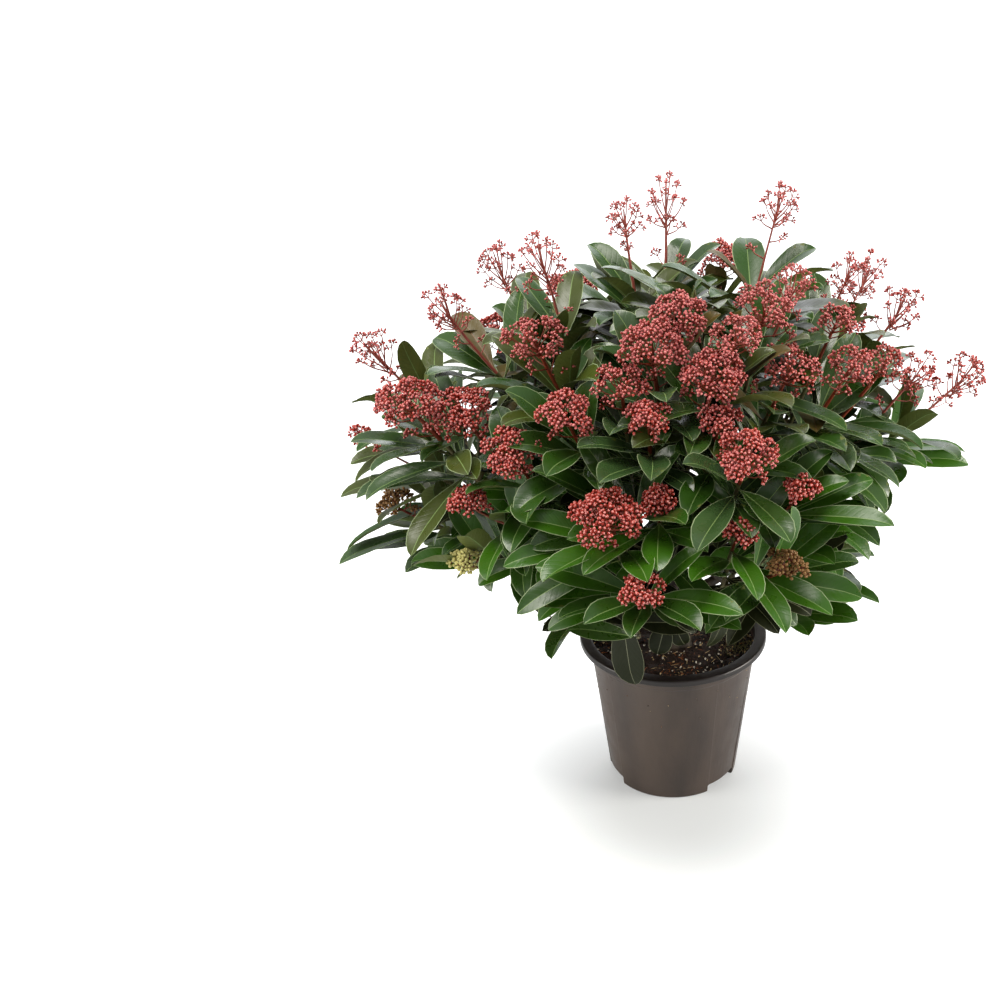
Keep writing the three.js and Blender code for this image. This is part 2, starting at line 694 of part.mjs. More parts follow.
const boughs = planBoughs(limbs);
for (const { row, curve } of boughs) {
  const solid = tube(curve, BOUGH.radius, BOUGH.tipRadius, BOUGH.sides, BOUGH.steps);
  wood.add(meshOf(`bough_${row.name}`, solid, curve.v0, COLOURS.bark));
  place(`bough_${row.name}`, 'limb', solid);
}

const crown = new THREE.Group();
growCrown(boughs);
boughs.forEach(({ row, tip }, index) => {
  const pieces = placed.filter(({ owner }) => owner === row.name).map(({ solid }) => solid);
  const fused = pieces.reduce((whole, piece) => whole.add(piece));
  const color = COLOURS.leaves[index % COLOURS.leaves.length];
  crown.add(meshOf(`foliage_${row.name}`, fused, tip, color, 0.5));
});

group.add(container, wood, crown);

export default group;
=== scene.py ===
"""A young skimmia, an evergreen shrub in red winter bud, standing in a round nursery pot.

The plant is planned in millimetres and degrees, by the same rule that its solids follow, and its meshes
are made in metres. The origin is the centre of the pot's flat underside, -Y is the front, azimuths turn
anticlockwise from +X and tilts are measured from the vertical.
"""
from __future__ import annotations

import itertools
import logging
import math
from dataclasses import dataclass, field, replace
from enum import Enum
from functools import cache, cached_property
from typing import Any, Iterable, Optional, Sequence, Union

import bmesh
import bpy
import numpy as np
from mathutils import Euler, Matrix, Quaternion, Vector, kdtree, noise
from mathutils.bvhtree import BVHTree

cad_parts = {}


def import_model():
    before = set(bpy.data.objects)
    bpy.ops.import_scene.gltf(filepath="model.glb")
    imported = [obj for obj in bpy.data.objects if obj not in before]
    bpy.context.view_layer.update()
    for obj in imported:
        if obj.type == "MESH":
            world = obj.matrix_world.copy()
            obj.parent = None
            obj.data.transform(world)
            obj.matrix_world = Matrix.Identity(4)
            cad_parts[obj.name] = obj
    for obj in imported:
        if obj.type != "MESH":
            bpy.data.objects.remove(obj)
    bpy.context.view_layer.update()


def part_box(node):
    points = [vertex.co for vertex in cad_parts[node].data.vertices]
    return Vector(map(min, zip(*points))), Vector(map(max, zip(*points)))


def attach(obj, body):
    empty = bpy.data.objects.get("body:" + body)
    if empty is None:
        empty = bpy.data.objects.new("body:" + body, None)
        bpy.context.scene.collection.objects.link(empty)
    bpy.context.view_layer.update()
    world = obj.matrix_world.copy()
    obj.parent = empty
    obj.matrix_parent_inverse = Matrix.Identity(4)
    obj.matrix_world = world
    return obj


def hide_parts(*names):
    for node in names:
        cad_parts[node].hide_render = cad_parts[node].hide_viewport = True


Socket, Material, Mesh, Piece = bpy.types.NodeSocket, bpy.types.Material, bpy.types.Mesh, bpy.types.Object
Key = Union[str, int]
Inputs = dict[Key, Any]
Triple = tuple[float, float, float]

LOG = logging.getLogger("skimmia")
MM = 0.001
UP = Vector((0, 0, 1))
BODY = "root"

CLEARANCE = 0.3  # between neighbouring solids
GOLDEN_ANGLE = 137.5  # turn from one leaf to the next round a shoot
HEART = Vector((0, 0, 170))  # the point that every mass reaches out from
DOME_FALL = 2.6  # reach lost for each degree of tilt within a mass
SEED = 7
STREAMS_PER_MASS = 16  # random streams kept for each mass, one to a shoot
SPIKE_STALK = 70  # heads on stalks at least this long are open spikes
LOOSE_STALK = 55  # and those on stalks at least this long are loose domes


def paint(code: str) -> tuple[float, float, float, float]:
    """Turn a hexadecimal sRGB colour into linear red, green, blue and alpha."""
    parts = [int(code[i:i + 2], 16) / 255 for i in (1, 3, 5)]
    return (*(c / 12.92 if c <= 0.04045 else ((c + 0.055) / 1.055) ** 2.4 for c in parts), 1.0)


def mix(low: float, high: float, share: float) -> float:
    """Return the value a share of the way from low to high."""
    return low + (high - low) * share


def held(value: float) -> float:
    """Return the value, held between 0 and 1."""
    return min(1.0, max(0.0, value))


def direction(azimuth: float, tilt: float) -> Vector:
    """Return the unit vector at an azimuth and a tilt, in degrees."""
    flat, turn = math.sin(math.radians(tilt)), math.radians(azimuth)
    return Vector((flat * math.cos(turn), flat * math.sin(turn), math.cos(math.radians(tilt))))


def across(axis: Vector) -> tuple[Vector, Vector]:
    """Return two unit vectors square to an axis and to each other: one level, one rising."""
    upright = math.hypot(axis.x, axis.y) <= 1e-6
    level = Vector((1, 0, 0)) if upright else Vector((-axis.y, axis.x, 0)).normalized()
    return level, axis.cross(level)


def leaning(axis: Vector, turn: float, angle: float) -> Vector:
    """Return the unit vector that leans off an axis.

    Args:
        axis: The axis.
        turn: The turn about it that the vector leans towards, in degrees.
        angle: How far it leans, in degrees.

    Returns:
        The vector.
    """
    level, rise = across(axis)
    lean, about = math.radians(angle), math.radians(turn)
    return axis * math.cos(lean) + (level * math.cos(about) + rise * math.sin(about)) * math.sin(lean)


def squared(vector: Vector, way: Vector) -> Vector:
    """Return the unit vector square to a way that lies nearest to another vector."""
    return (vector - way * vector.dot(way)).normalized()


# ---- wiring node trees


class Bench:
    """Adds nodes to a shader or geometry tree and wires them up."""

    def __init__(self, tree: bpy.types.NodeTree) -> None:
        """Take the tree to work on."""
        self.tree = tree

    def put(self, kind: str, inputs: Optional[Inputs] = None, **settings: Any) -> bpy.types.Node:
        """Add a node.

        Args:
            kind: The node's type, such as ShaderNodeMath.
            inputs: What feeds each input, by name or place: an output, a list of outputs or a plain value.
            **settings: The node's own properties, set before its inputs.

        Returns:
            The new node.
        """
        node = self.tree.nodes.new(kind)
        for name, value in settings.items():
            setattr(node, name, value)
        self.feed(node, inputs or {})
        return node

    def feed(self, node: bpy.types.Node, inputs: Inputs) -> None:
        """Link outputs to a node's inputs, or set the inputs' own values.

        Args:
            node: The node.
            inputs: What feeds each input, as put takes it.
        """
        for key, value in inputs.items():
            if isinstance(value, (Socket, list)):
                for source in value if isinstance(value, list) else [value]:
                    self.tree.links.new(source, node.inputs[key])
            else:
                node.inputs[key].default_value = value

    def get(self, kind: str, inputs: Optional[Inputs] = None, output: Key = 0, **settings: Any) -> Socket:
        """Add a node as put does and return one of its outputs."""
        return self.put(kind, inputs, **settings).outputs[output]

    def calc(self, operation: str, *values: Any) -> Socket:
        """Return what a Math node makes of one, two or three values."""
        return self.get("ShaderNodeMath", dict(enumerate(values)), operation=operation)

    def blend(self, share: Any, first: Any, second: Any) -> Socket:
        """Return a colour that goes from the first to the second by a share."""
        return self.get("ShaderNodeMix", {0: share, 6: first, 7: second}, 2, data_type="RGBA")

    def ramp(self, value: Socket, low: Any, high: Any, first: Any = 0.0, last: Any = 1.0,
             soft: bool = False) -> Socket:
        """Return a value mapped from one range to another and held within it.

        Args:
            value: The value.
            low, high: The ends of its own range.
            first, last: What they become.
            soft: Whether it eases in and out.

        Returns:
            The mapped value.
        """
        return self.get("ShaderNodeMapRange", {
            "Value": value, "From Min": low, "From Max": high, "To Min": first, "To Max": last,
        }, interpolation_type="SMOOTHSTEP" if soft else "LINEAR")

    def cloud(self, place: Socket, scale: Any, detail: float) -> Socket:
        """Return a noise over a place."""
        return self.get("ShaderNodeTexNoise", {"Vector": place, "Scale": scale, "Detail": detail})

    def relief(self, height: Socket, depth: Socket, **more: Socket) -> Socket:
        """Return the normals of a surface that a height raises by up to a depth."""
        return self.get("ShaderNodeBump", {"Strength": 1.0, "Distance": depth, "Height": height, **more})

    def stretched(self, place: Socket, stretch: Socket) -> Socket:
        """Return a place scaled by a vector."""
        return self.get("ShaderNodeVectorMath", {0: place, 1: stretch}, operation="MULTIPLY")

    def distance(self, place: Socket, other: Any) -> Socket:
        """Return the distance between two places."""
        return self.get("ShaderNodeVectorMath", {0: place, 1: other}, "Value", operation="DISTANCE")

    def body(self) -> Socket:
        """Return the place on the piece, in its own metres."""
        return self.get("ShaderNodeTexCoord", output="Object")

    def vector(self, *parts: Any) -> Socket:
        """Return a vector of three values."""
        return self.get("ShaderNodeCombineXYZ", dict(enumerate(parts)))

    def part(self, vector: Socket, index: int) -> Socket:
        """Return one of a vector's three values."""
        return self.get("ShaderNodeSeparateXYZ", {0: vector}, index)

    def compare(self, first: Socket, operation: str, second: Any, whole: bool = False) -> Socket:
        """Return whether two numbers, or whole numbers, stand to each other as an operation says."""
        at, kind = (2, "INT") if whole else (0, "FLOAT")
        inputs = {at: first, at + 1: second}
        return self.get("FunctionNodeCompare", inputs, data_type=kind, operation=operation)


class Group(Bench):
    """A node group with named sockets."""

    def __init__(self, kind: str, name: str, inputs: dict[str, Any], outputs: dict[str, str]) -> None:
        """Start the group.

        Args:
            kind: ShaderNodeTree or GeometryNodeTree.
            name: The group's name.
            inputs: Each input's name and its default, or the kind of a socket that has none.
            outputs: Each output's name and kind.
        """
        super().__init__(bpy.data.node_groups.new(name, kind))
        for way, sockets in (("INPUT", inputs), ("OUTPUT", outputs)):
            for label, default in sockets.items():
                socket = self.tree.interface.new_socket(
                    label, in_out=way, socket_type=f"NodeSocket{self.kind_of(default)}")
                if not isinstance(default, str):
                    socket.default_value = default
        self.given = self.put("NodeGroupInput").outputs

    @staticmethod
    def kind_of(default: Any) -> str:
        """Return the kind of socket that holds a default, or the kind that a word names."""
        if isinstance(default, tuple):
            return "Color" if len(default) == 4 else "Vector"
        return default if isinstance(default, str) else type(default).__name__.title()

    def finish(self, outputs: Inputs) -> bpy.types.NodeTree:
        """Wire up what the group gives out and return its tree."""
        self.put("NodeGroupOutput", outputs)
        return self.tree


# ---- finishes


class SurfaceGroups:
    """The shader groups that the finishes share, each built when it is first asked for."""

    SKIN = {"Roughness": "Float", "Normal": "Vector"}

    @staticmethod
    def gloss(group: Group, place: Socket, scale: float, detail: float) -> Socket:
        """Return a roughness that goes in patches from the group's Smooth to its Rough."""
        patches = group.cloud(place, scale, detail)
        return group.ramp(patches, 0.35, 0.65, group.given["Smooth"], group.given["Rough"])

    @cached_property
    def clouded(self) -> bpy.types.NodeTree:
        """Return the group that clouds one colour with another, in patches and in fine specks."""
        group = Group("ShaderNodeTree", "clouded_colour", {
            "Scale": 30.0, "Stretch": (1, 1, 1), "Main": paint("#808080"), "Other": paint("#404040"),
            "Low": 0.4, "High": 0.65,
        }, {"Color": "Color"})
        given = group.given
        cloud = group.cloud(group.stretched(group.body(), given["Stretch"]), given["Scale"], 6.0)
        share = group.ramp(cloud, given["Low"], given["High"])
        return group.finish({"Color": group.blend(share, given["Main"], given["Other"])})

    @cached_property
    def grained(self) -> bpy.types.NodeTree:
        """Return the group that gives a surface its fine relief and uneven gloss."""
        group = Group("ShaderNodeTree", "grained_surface", {
            "Scale": 400.0, "Stretch": (1, 1, 1), "Depth": 0.0002, "Smooth": 0.35, "Rough": 0.5,
        }, self.SKIN)
        given, place = group.given, group.body()
        grain = group.cloud(group.stretched(place, given["Stretch"]), given["Scale"], 4.0)
        return group.finish({
            "Roughness": self.gloss(group, place, 55.0, 3.0), "Normal": group.relief(grain, given["Depth"]),
        })

    @cached_property
    def veined(self) -> bpy.types.NodeTree:
        """Return the group that gives a leaf its side veins and leathery skin, along its own UV map."""
        group = Group("ShaderNodeTree", "veined_blade", {
            "Vein Spacing": 7.0, "Vein Slope": 1.15, "Vein Depth": 0.00022, "Skin Depth": 0.00003,
            "Smooth": 0.3, "Rough": 0.45,
        }, self.SKIN)
        given, calc, body = group.given, group.calc, group.body()
        chart = group.get("ShaderNodeUVMap", uv_map=LeafCutter.CHART)
        out = calc("ABSOLUTE", calc("SUBTRACT", group.part(chart, 0), 0.5))
        places = (out, group.part(chart, 1))
        out_mm, along_mm = (calc("MULTIPLY", share, LeafCutter.CHART_MM) for share in places)
        slope = calc("MULTIPLY", given["Vein Slope"], -1.0)
        rank = calc("DIVIDE", calc("MULTIPLY_ADD", out_mm, slope, along_mm), given["Vein Spacing"])
        wave = calc("ABSOLUTE", calc("SUBTRACT", calc("FRACT", rank), 0.5))
        veins = group.relief(group.ramp(wave, 0.0, 0.22, soft=True), given["Vein Depth"])
        skin = group.relief(group.cloud(body, 900.0, 3.0), given["Skin Depth"], Normal=veins)
        return group.finish({"Roughness": self.gloss(group, body, 80.0, 2.0), "Normal": skin})


GROUPS = SurfaceGroups()


class Surface(Bench):
    """A new material with its Principled shader."""

    def __init__(self, name: str) -> None:
        """Start the material under a name."""
        self.material = bpy.data.materials.new(name)
        self.material.use_nodes = True
        super().__init__(self.material.node_tree)
        self.shader = self.tree.nodes["Principled BSDF"]

    def group(self, tree: bpy.types.NodeTree, values: Inputs) -> bpy.types.NodeOutputs:
        """Place a shared group with this material's own values and return its outputs."""
        return self.put("ShaderNodeGroup", values, node_tree=tree).outputs

    def dress(self, values: Inputs, skin: Optional[bpy.types.NodeOutputs] = None) -> Material:
        """Finish the material.

        Args:
            values: What feeds the shader's inputs, by name.
            skin: The outputs of a group that gives its roughness and normals.

        Returns:
            The material.
        """
        taken = {name: skin[name] for name in SurfaceGroups.SKIN} if skin else {}
        self.feed(self.shader, {**values, **taken})
        return self.material


@dataclass(frozen=True)
class BladeFinish:
    """The skin of a leaf: one plain colour, with veins and a leathery gloss."""

    name: str
    color: str
    smooth: float = 0.3
    rough: float = 0.46
    coat: float = 0.0
    vein_depth: float = 0.00006
    shine: float = 0.5

    def material(self) -> Material:
        """Return the finish as a material."""
        surface = Surface(self.name)
        return surface.dress({
            "Base Color": paint(self.color), "Specular IOR Level": self.shine,
            "Coat Weight": self.coat, "Coat Roughness": 0.25,
        }, surface.group(GROUPS.veined, {
            "Smooth": self.smooth, "Rough": self.rough, "Vein Depth": self.vein_depth,
        }))


@dataclass(frozen=True)
class PlainFinish:
    """A small living part of one plain colour, such as a bud, a stalk or a leaf's edge, with a fine grain."""

    name: str
    color: str
    smooth: float = 0.35
    rough: float = 0.5
    grain: float = 600.0
    depth: float = 0.0001
    grain_stretch: Triple = (1, 1, 1)

    def base(self, surface: Surface) -> Any:
        """Return what feeds the base colour."""
        return paint(self.color)

    def material(self) -> Material:
        """Return the finish as a material."""
        surface = Surface(self.name)
        return surface.dress({"Base Color": self.base(surface)}, surface.group(GROUPS.grained, {
            "Scale": self.grain, "Stretch": self.grain_stretch, "Depth": self.depth,
            "Smooth": self.smooth, "Rough": self.rough,
        }))


@dataclass(frozen=True)
class CloudedFinish(PlainFinish):
    """A material of two colours in patches, such as bark, peat or moulded plastic."""

    other: str = "#000000"
    scale: float = 500.0
    stretch: Triple = (1, 1, 1)
    smooth: float = 0.6
    rough: float = 0.85
    grain: float = 900.0
    depth: float = 0.0003

    def base(self, surface: Surface) -> Socket:
        """Return the clouded colour that feeds the base colour."""
        return surface.group(GROUPS.clouded, {
            "Scale": self.scale, "Stretch": self.stretch,
            "Main": paint(self.color), "Other": paint(self.other),
        })["Color"]


@dataclass(frozen=True)
class PotFinish(CloudedFinish):
    """Satin moulded plastic: dark taupe, cloudy, with fine drag lines, and a painted shade that darkens the
    lip and collar where the crown above shades them.
    """

    # the near-black colour of the painted shade on the lip and collar
    rim: str = "#1e1818"
    rim_height: float = 0.15  # the middle of the band where the painted shade begins, in metres
    rim_fade: float = 0.004  # and half its width

    def base(self, surface: Surface) -> Socket:
        """Return the wall's clouded colour, darkened towards the rim by painted shade."""
        dark = surface.ramp(surface.part(surface.body(), 2), self.rim_height - self.rim_fade,
                            self.rim_height + self.rim_fade, soft=True)
        return surface.blend(dark, super().base(surface), paint(self.rim))


class LeafTone(Enum):
    """The colours that leaves are dealt, spray by spray."""

    FRESH = BladeFinish("leaf_fresh", "#315b0c", 0.26, 0.4, 0.1)
    GREEN = BladeFinish("leaf_green", "#284910", 0.25, 0.38, 0.2)
    DEEP = BladeFinish("leaf_deep", "#2f4d18", 0.22, 0.36, 0.4)
    SLATE = BladeFinish("leaf_slate", "#364f29", 0.2, 0.34, 0.5)
    OLIVE = BladeFinish("leaf_olive", "#3f4a18", 0.26, 0.42, 0.2)
    BRONZE = BladeFinish("leaf_bronze", "#54481c", 0.34, 0.48, 0.1)
    OLD = BladeFinish("leaf_old", "#1d220f", 0.38, 0.54, shine=0.15)


class LeafTrim(Enum):
    """The colours of a leaf's edge, midrib and underside."""

    EDGE = PlainFinish("leaf_edge", "#95a67c", 0.4, 0.6)
    DULL_EDGE = PlainFinish("leaf_dull_edge", "#6c6f54", 0.45, 0.65)
    RIB = PlainFinish("leaf_midrib", "#7b9658", 0.4, 0.6)
    BROWN_RIB = PlainFinish("leaf_brown_midrib", "#7d5b3a", 0.4, 0.6)
    UNDER = BladeFinish("leaf_underside", "#5f6a2c", 0.5, 0.68, 0.0, 0.00015)
    BROWN_UNDER = BladeFinish("leaf_bronze_underside", "#6e5c34", 0.5, 0.7, 0.0, 0.00015)


class BudTone(Enum):
    """The colours of the flower buds."""

    DEEP = PlainFinish("bud_deep", "#781e12", 0.17, 0.28)
    RED = PlainFinish("bud_red", "#a03024", 0.17, 0.28)
    ROSE = PlainFinish("bud_rose", "#b6463c", 0.18, 0.3)
    PINK = PlainFinish("bud_pink", "#ba5c5c", 0.2, 0.32)
    SPENT = PlainFinish("bud_spent", "#7e5a2c", 0.5, 0.7)
    CREAM = PlainFinish("bud_cream", "#c9c27a", 0.45, 0.65)
    # Paler bud tips: partly the petals' own paler colour, partly a painted highlight on each bud's outer end.
    TIP = PlainFinish("bud_tip_and_highlight", "#d0807a", 0.17, 0.28)


class StemTone(Enum):
    """The colours of bark, young shoots and flower stalks."""

    BARK = CloudedFinish("bark_grey_brown", "#372b1c", grain=700.0, other="#201810", scale=180.0,
                         stretch=(1, 1, 0.4))
    SHOOT = CloudedFinish("bark_young_green", "#5c5c34", 0.45, 0.65, 500.0, other="#4a3c24", scale=220.0,
                          stretch=(1, 1, 0.4))
    STALK = PlainFinish("stalk_red_brown", "#762c16", 0.4, 0.58)
    THIN_STALK = PlainFinish("stalk_thin_red", "#96483e", 0.4, 0.58)


@cache
def stock(choice: Enum) -> Material:
    """Return the material of the finish that a choice holds, made once."""
    return choice.value.material()


# ---- pieces and geometry recipes


def placed(name: str, mesh: Mesh) -> Piece:
    """Put a mesh in the scene as a piece at the origin."""
    piece = bpy.data.objects.new(name, mesh)
    bpy.context.scene.collection.objects.link(piece)
    return piece


def worked(name: str, work: bmesh.types.BMesh, material: Optional[Material] = None) -> Mesh:
    """Turn worked faces into a smooth mesh.

    Args:
        name: The mesh's name.
        work: The faces, which are used up.
        material: The material of them all.

    Returns:
        The mesh.
    """
    mesh = bpy.data.meshes.new(name)
    work.to_mesh(mesh)
    work.free()
    if material:
        mesh.materials.append(material)
    mesh.shade_smooth()
    return mesh


def handed_over(piece: Piece, nodes: Iterable[str] = ()) -> None:
    """Ride a finished piece on the body.

    Args:
        piece: The piece.
        nodes: The nodes it stands for.
    """
    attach(piece, BODY)
    if nodes:
        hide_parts(*nodes)
    LOG.info("%s: %d faces", piece.name, len(piece.data.polygons))


class Recipe(Group):
    """A geometry tree that is run once on a mesh and leaves a plain mesh behind."""

    def __init__(self, name: str, inputs: dict[str, Any]) -> None:
        """Start the tree, with its named inputs after the geometry that it works on."""
        shape = {"Geometry": "Geometry"}
        super().__init__("GeometryNodeTree", name, {**shape, **inputs}, shape)

    def attribute(self, name: str, kind: str = "FLOAT") -> Socket:
        """Return a named attribute as a field."""
        return self.get("GeometryNodeInputNamedAttribute", {"Name": name}, data_type=kind)

    def painted(self, geometry: Socket, material: str, selection: Any = True) -> Socket:
        """Return the geometry with one of the given materials on its selected faces."""
        return self.get("GeometryNodeSetMaterial", {
            "Geometry": geometry, "Selection": selection, "Material": self.given[material],
        })

    def smooth(self, geometry: Socket) -> Socket:
        """Return the geometry shaded smooth."""
        return self.get("GeometryNodeSetShadeSmooth", {0: geometry})

    def marked(self, geometry: Socket, name: str, value: Socket, domain: str) -> Socket:
        """Return the geometry with a true or false attribute stored on its faces or points."""
        return self.get("GeometryNodeStoreNamedAttribute", {
            "Geometry": geometry, "Name": name, "Value": value,
        }, data_type="BOOLEAN", domain=domain)

    def sown(self, points: Socket, shape: Socket, rotation: Socket, scale: Socket) -> Socket:
        """Return a real copy of a shape on each point, turned and scaled."""
        return self.get("GeometryNodeRealizeInstances", {0: self.get("GeometryNodeInstanceOnPoints", {
            "Points": points, "Instance": shape, "Rotation": rotation, "Scale": scale,
        })})

    def run(self, name: str, mesh: Mesh, values: dict[str, Any]) -> Piece:
        """Run the tree on a mesh.

        Args:
            name: The name of the piece that comes out.
            mesh: The mesh that goes in, which is used up.
            values: A value for each named input that doesn't keep its default.

        Returns:
            The piece, with a plain mesh and no modifier.
        """
        source = placed(f"{name}_plan", mesh)
        modifier = source.modifiers.new("recipe", "NODES")
        modifier.node_group = self.tree
        for item in self.tree.interface.items_tree:
            if item.item_type == "SOCKET" and item.in_out == "INPUT" and item.name in values:
                modifier[item.identifier] = values[item.name]
        depsgraph = bpy.context.evaluated_depsgraph_get()
        made = bpy.data.meshes.new_from_object(source.evaluated_get(depsgraph), depsgraph=depsgraph)
        made.name = name
        source.modifiers.remove(modifier)
        bpy.data.objects.remove(source)
        bpy.data.meshes.remove(mesh)
        return placed(name, made)


class SweepRecipe(Recipe):
    """Round limbs swept along runs of points, each as thick as its points say."""

    def __init__(self) -> None:
        """Build the tree."""
        super().__init__("swept_stalks", {"Sides": 6, "Material": "Material"})
        whole = self.get("GeometryNodeRealizeInstances", {0: self.swept(self.given["Geometry"])})
        self.finish({0: self.painted(whole, "Material")})

    def swept(self, geometry: Socket) -> Socket:
        """Return the limbs swept along the geometry's edges."""
        return self.smooth(self.get("GeometryNodeCurveToMesh", {
            "Curve": self.get("GeometryNodeMeshToCurve", {0: geometry}),
            "Profile Curve": self.get("GeometryNodeCurvePrimitiveCircle", {
                "Resolution": self.given["Sides"], "Radius": 1.0,
            }),
            "Scale": self.attribute("width"), "Fill Caps": True,
        }))


class BlossomRecipe(SweepRecipe):
    """Branched stalks with a bud on every loose point."""

    BUD_TONES = (BudTone.DEEP, BudTone.RED, BudTone.ROSE, BudTone.PINK, BudTone.SPENT, BudTone.CREAM)
    UNTIPPED = BUD_TONES.index(BudTone.SPENT)  # from here on the buds have no paler tip

    def __init__(self) -> None:
        """Build the tree."""
        Recipe.__init__(self, "budded_heads", {
            "Sides": 4, "Stalk": "Material", "Tip": "Material",
            **{f"Bud {tone.name}": "Material" for tone in self.BUD_TONES},
            # the paler tip, partly a painted highlight, covers the bud above Tip From
            "Bud Length": 1.12, "Tip From": 0.6,
        })
        size, tint = self.attribute("size"), self.attribute("tint", "INT")
        parted = self.put("GeometryNodeSeparateGeometry", {
            0: self.given["Geometry"], 1: self.compare(size, "GREATER_THAN", 0.0),
        }).outputs
        stalks = self.painted(self.swept(parted["Inverted"]), "Stalk")
        height = self.part(self.get("GeometryNodeInputPosition"), 2)
        bud = self.marked(self.get("GeometryNodeMeshUVSphere", {"Segments": 6, "Rings": 4, "Radius": 1.0}),
                          "tip", self.compare(height, "GREATER_THAN", self.given["Tip From"]), "FACE")
        shaped = self.smooth(self.get("GeometryNodeTransform", {
            "Geometry": bud, "Scale": self.vector(1.0, 1.0, self.given["Bud Length"]),
        }))
        turned = self.get("FunctionNodeAlignRotationToVector", {
            "Vector": self.attribute("stand", "FLOAT_VECTOR"),
        }, axis="Z")
        buds = self.sown(parted["Selection"], shaped, turned, size)
        for index, tone in enumerate(self.BUD_TONES):
            buds = self.painted(buds, f"Bud {tone.name}", self.compare(tint, "EQUAL", index, whole=True))
        # Buds in fresh tones get a paler tip: partly real petal colour, partly a painted highlight.
        fresh = self.compare(tint, "LESS_THAN", self.UNTIPPED, whole=True)
        tipped = self.get("FunctionNodeBooleanMath", {
            0: self.attribute("tip", "BOOLEAN"), 1: fresh,
        }, operation="AND")
        buds = self.painted(buds, "Tip", tipped)
        self.finish({0: self.get("GeometryNodeJoinGeometry", {0: [buds, stalks]})})


class ScatterRecipe(Recipe):
    """Grains strewn over the upward faces of a bed, in one patch or all over."""

    def __init__(self) -> None:
        """Build the tree."""
        super().__init__("strewn_grains", {
            "Density": 1000.0, "Length": 0.002, "Width": 0.002, "Height": 0.001, "Smallest": 0.4, "Tilt": 0.5,
            "Patch Centre": (0, 0, 0), "Patch Radius": 10.0, "Seed": 1, "Lift": 0.0,
            "Main": "Material", "Other": "Material", "Other Share": 0.3,
        })
        given, seed = self.given, self.given["Seed"]
        upward = self.compare(self.part(self.get("GeometryNodeInputNormal"), 2), "GREATER_THAN", 0.5)
        away = self.distance(self.get("GeometryNodeInputPosition"), given["Patch Centre"])
        fading = self.ramp(away, 0.0, given["Patch Radius"], 1.0, 0.0, soft=True)
        points = self.get("GeometryNodeDistributePointsOnFaces", {
            "Mesh": given["Geometry"], "Selection": upward, "Seed": seed,
            "Density": self.calc("MULTIPLY", given["Density"], fading),
        }, distribute_method="RANDOM")
        picked = self.get("FunctionNodeRandomValue", {"Probability": given["Other Share"], "Seed": seed}, 3,
                          data_type="BOOLEAN")
        back = self.calc("MULTIPLY", given["Tilt"], -1.0)
        turn = self.get("FunctionNodeRandomValue", {
            0: self.vector(back, back, 0.0), 1: self.vector(given["Tilt"], given["Tilt"], math.tau),
            "Seed": self.calc("ADD", seed, 5.0),
        }, data_type="FLOAT_VECTOR")
        size = self.get("FunctionNodeRandomValue", {
            2: given["Smallest"], 3: 1.0, "Seed": self.calc("ADD", seed, 9.0),
        }, 1, data_type="FLOAT")
        shape = self.vector(given["Length"], given["Width"], given["Height"])
        grains = self.sown(
            self.marked(points, "other", picked, "POINT"),
            self.get("GeometryNodeMeshIcoSphere", {"Radius": 0.5, "Subdivisions": 1}), turn,
            self.get("ShaderNodeVectorMath", {0: shape, "Scale": size}, operation="SCALE"))
        lifted = self.painted(self.get("GeometryNodeSetPosition", {
            0: grains, "Offset": self.vector(0.0, 0.0, given["Lift"]),
        }), "Main")
        self.finish({0: self.painted(lifted, "Other", self.attribute("other", "BOOLEAN"))})


# ---- the growth rule


class Stream:
    """A repeatable stream of numbers from 0 to 1."""

    WORD = 2 ** 32

    def __init__(self, seed: int) -> None:
        """Start the stream from a whole number."""
        self.state = (seed + 1) * 2654435761 % self.WORD

    def draw(self) -> float:
        """Return the next number."""
        self.state = (self.state * 1664525 + 1013904223) % self.WORD
        return self.state / self.WORD

    def slip(self, span: float) -> float:
        """Return a number from minus half the span to plus half the span."""
        return span * (self.draw() - 0.5)

    def between(self, low: float, high: float) -> float:
        """Return a number from low to high."""
        return mix(low, high, self.draw())


@dataclass(frozen=True)
class Sweep:
    """A smooth curve that leaves one point along a direction and arrives at another along a second."""

    start: Vector
    leaving: Vector
    arriving: Vector
    end: Vector

    @classmethod
    def between(cls, start: Vector, leaving: Vector, end: Vector, arriving: Vector, handle: float) -> Sweep:
        """Return the curve whose ends hold their directions for a share of the distance between them."""
        reach = (end - start).length * handle
        return cls(start.copy(), start + leaving * reach, end - arriving * reach, end.copy())

    def point(self, t: float) -> Vector:
        """Return the point at a parameter from 0 to 1."""
        s = 1 - t
        return (self.start * s ** 3 + self.leaving * (3 * s * s * t)
                + self.arriving * (3 * s * t * t) + self.end * t ** 3)

    def tangent(self, t: float) -> Vector:
        """Return the unit direction at a parameter from 0 to 1."""
        s = 1 - t
        slope = ((self.leaving - self.start) * s * s + (self.arriving - self.leaving) * (2 * s * t)
                 + (self.end - self.arriving) * t * t)
        return slope.normalized()

    def length(self) -> float:
        """Return the curve's length."""
        points = self.run(0, 1, 200)
        return sum((b - a).length for a, b in zip(points, points[1:]))

    def run(self, first: float, last: float, steps: int) -> list[Vector]:
        """Return points along the curve from one parameter to another."""
        return [self.point(mix(first, last, i / steps)) for i in range(steps + 1)]


@dataclass(frozen=True)
class Mass:
    """Where a mass of foliage lies from the heart of the plant, and how its shoots stand round that."""

    name: str
    azimuth: float
    tilt: float
    reach: float
    turn: float
    spread: float
    stalk: float
    shoots: int = 3


@dataclass(frozen=True)
class LimbRow:
    """A limb that the stem forks into."""

    name: str
    azimuth: float
    tilt: float = 54
    length: float = 74


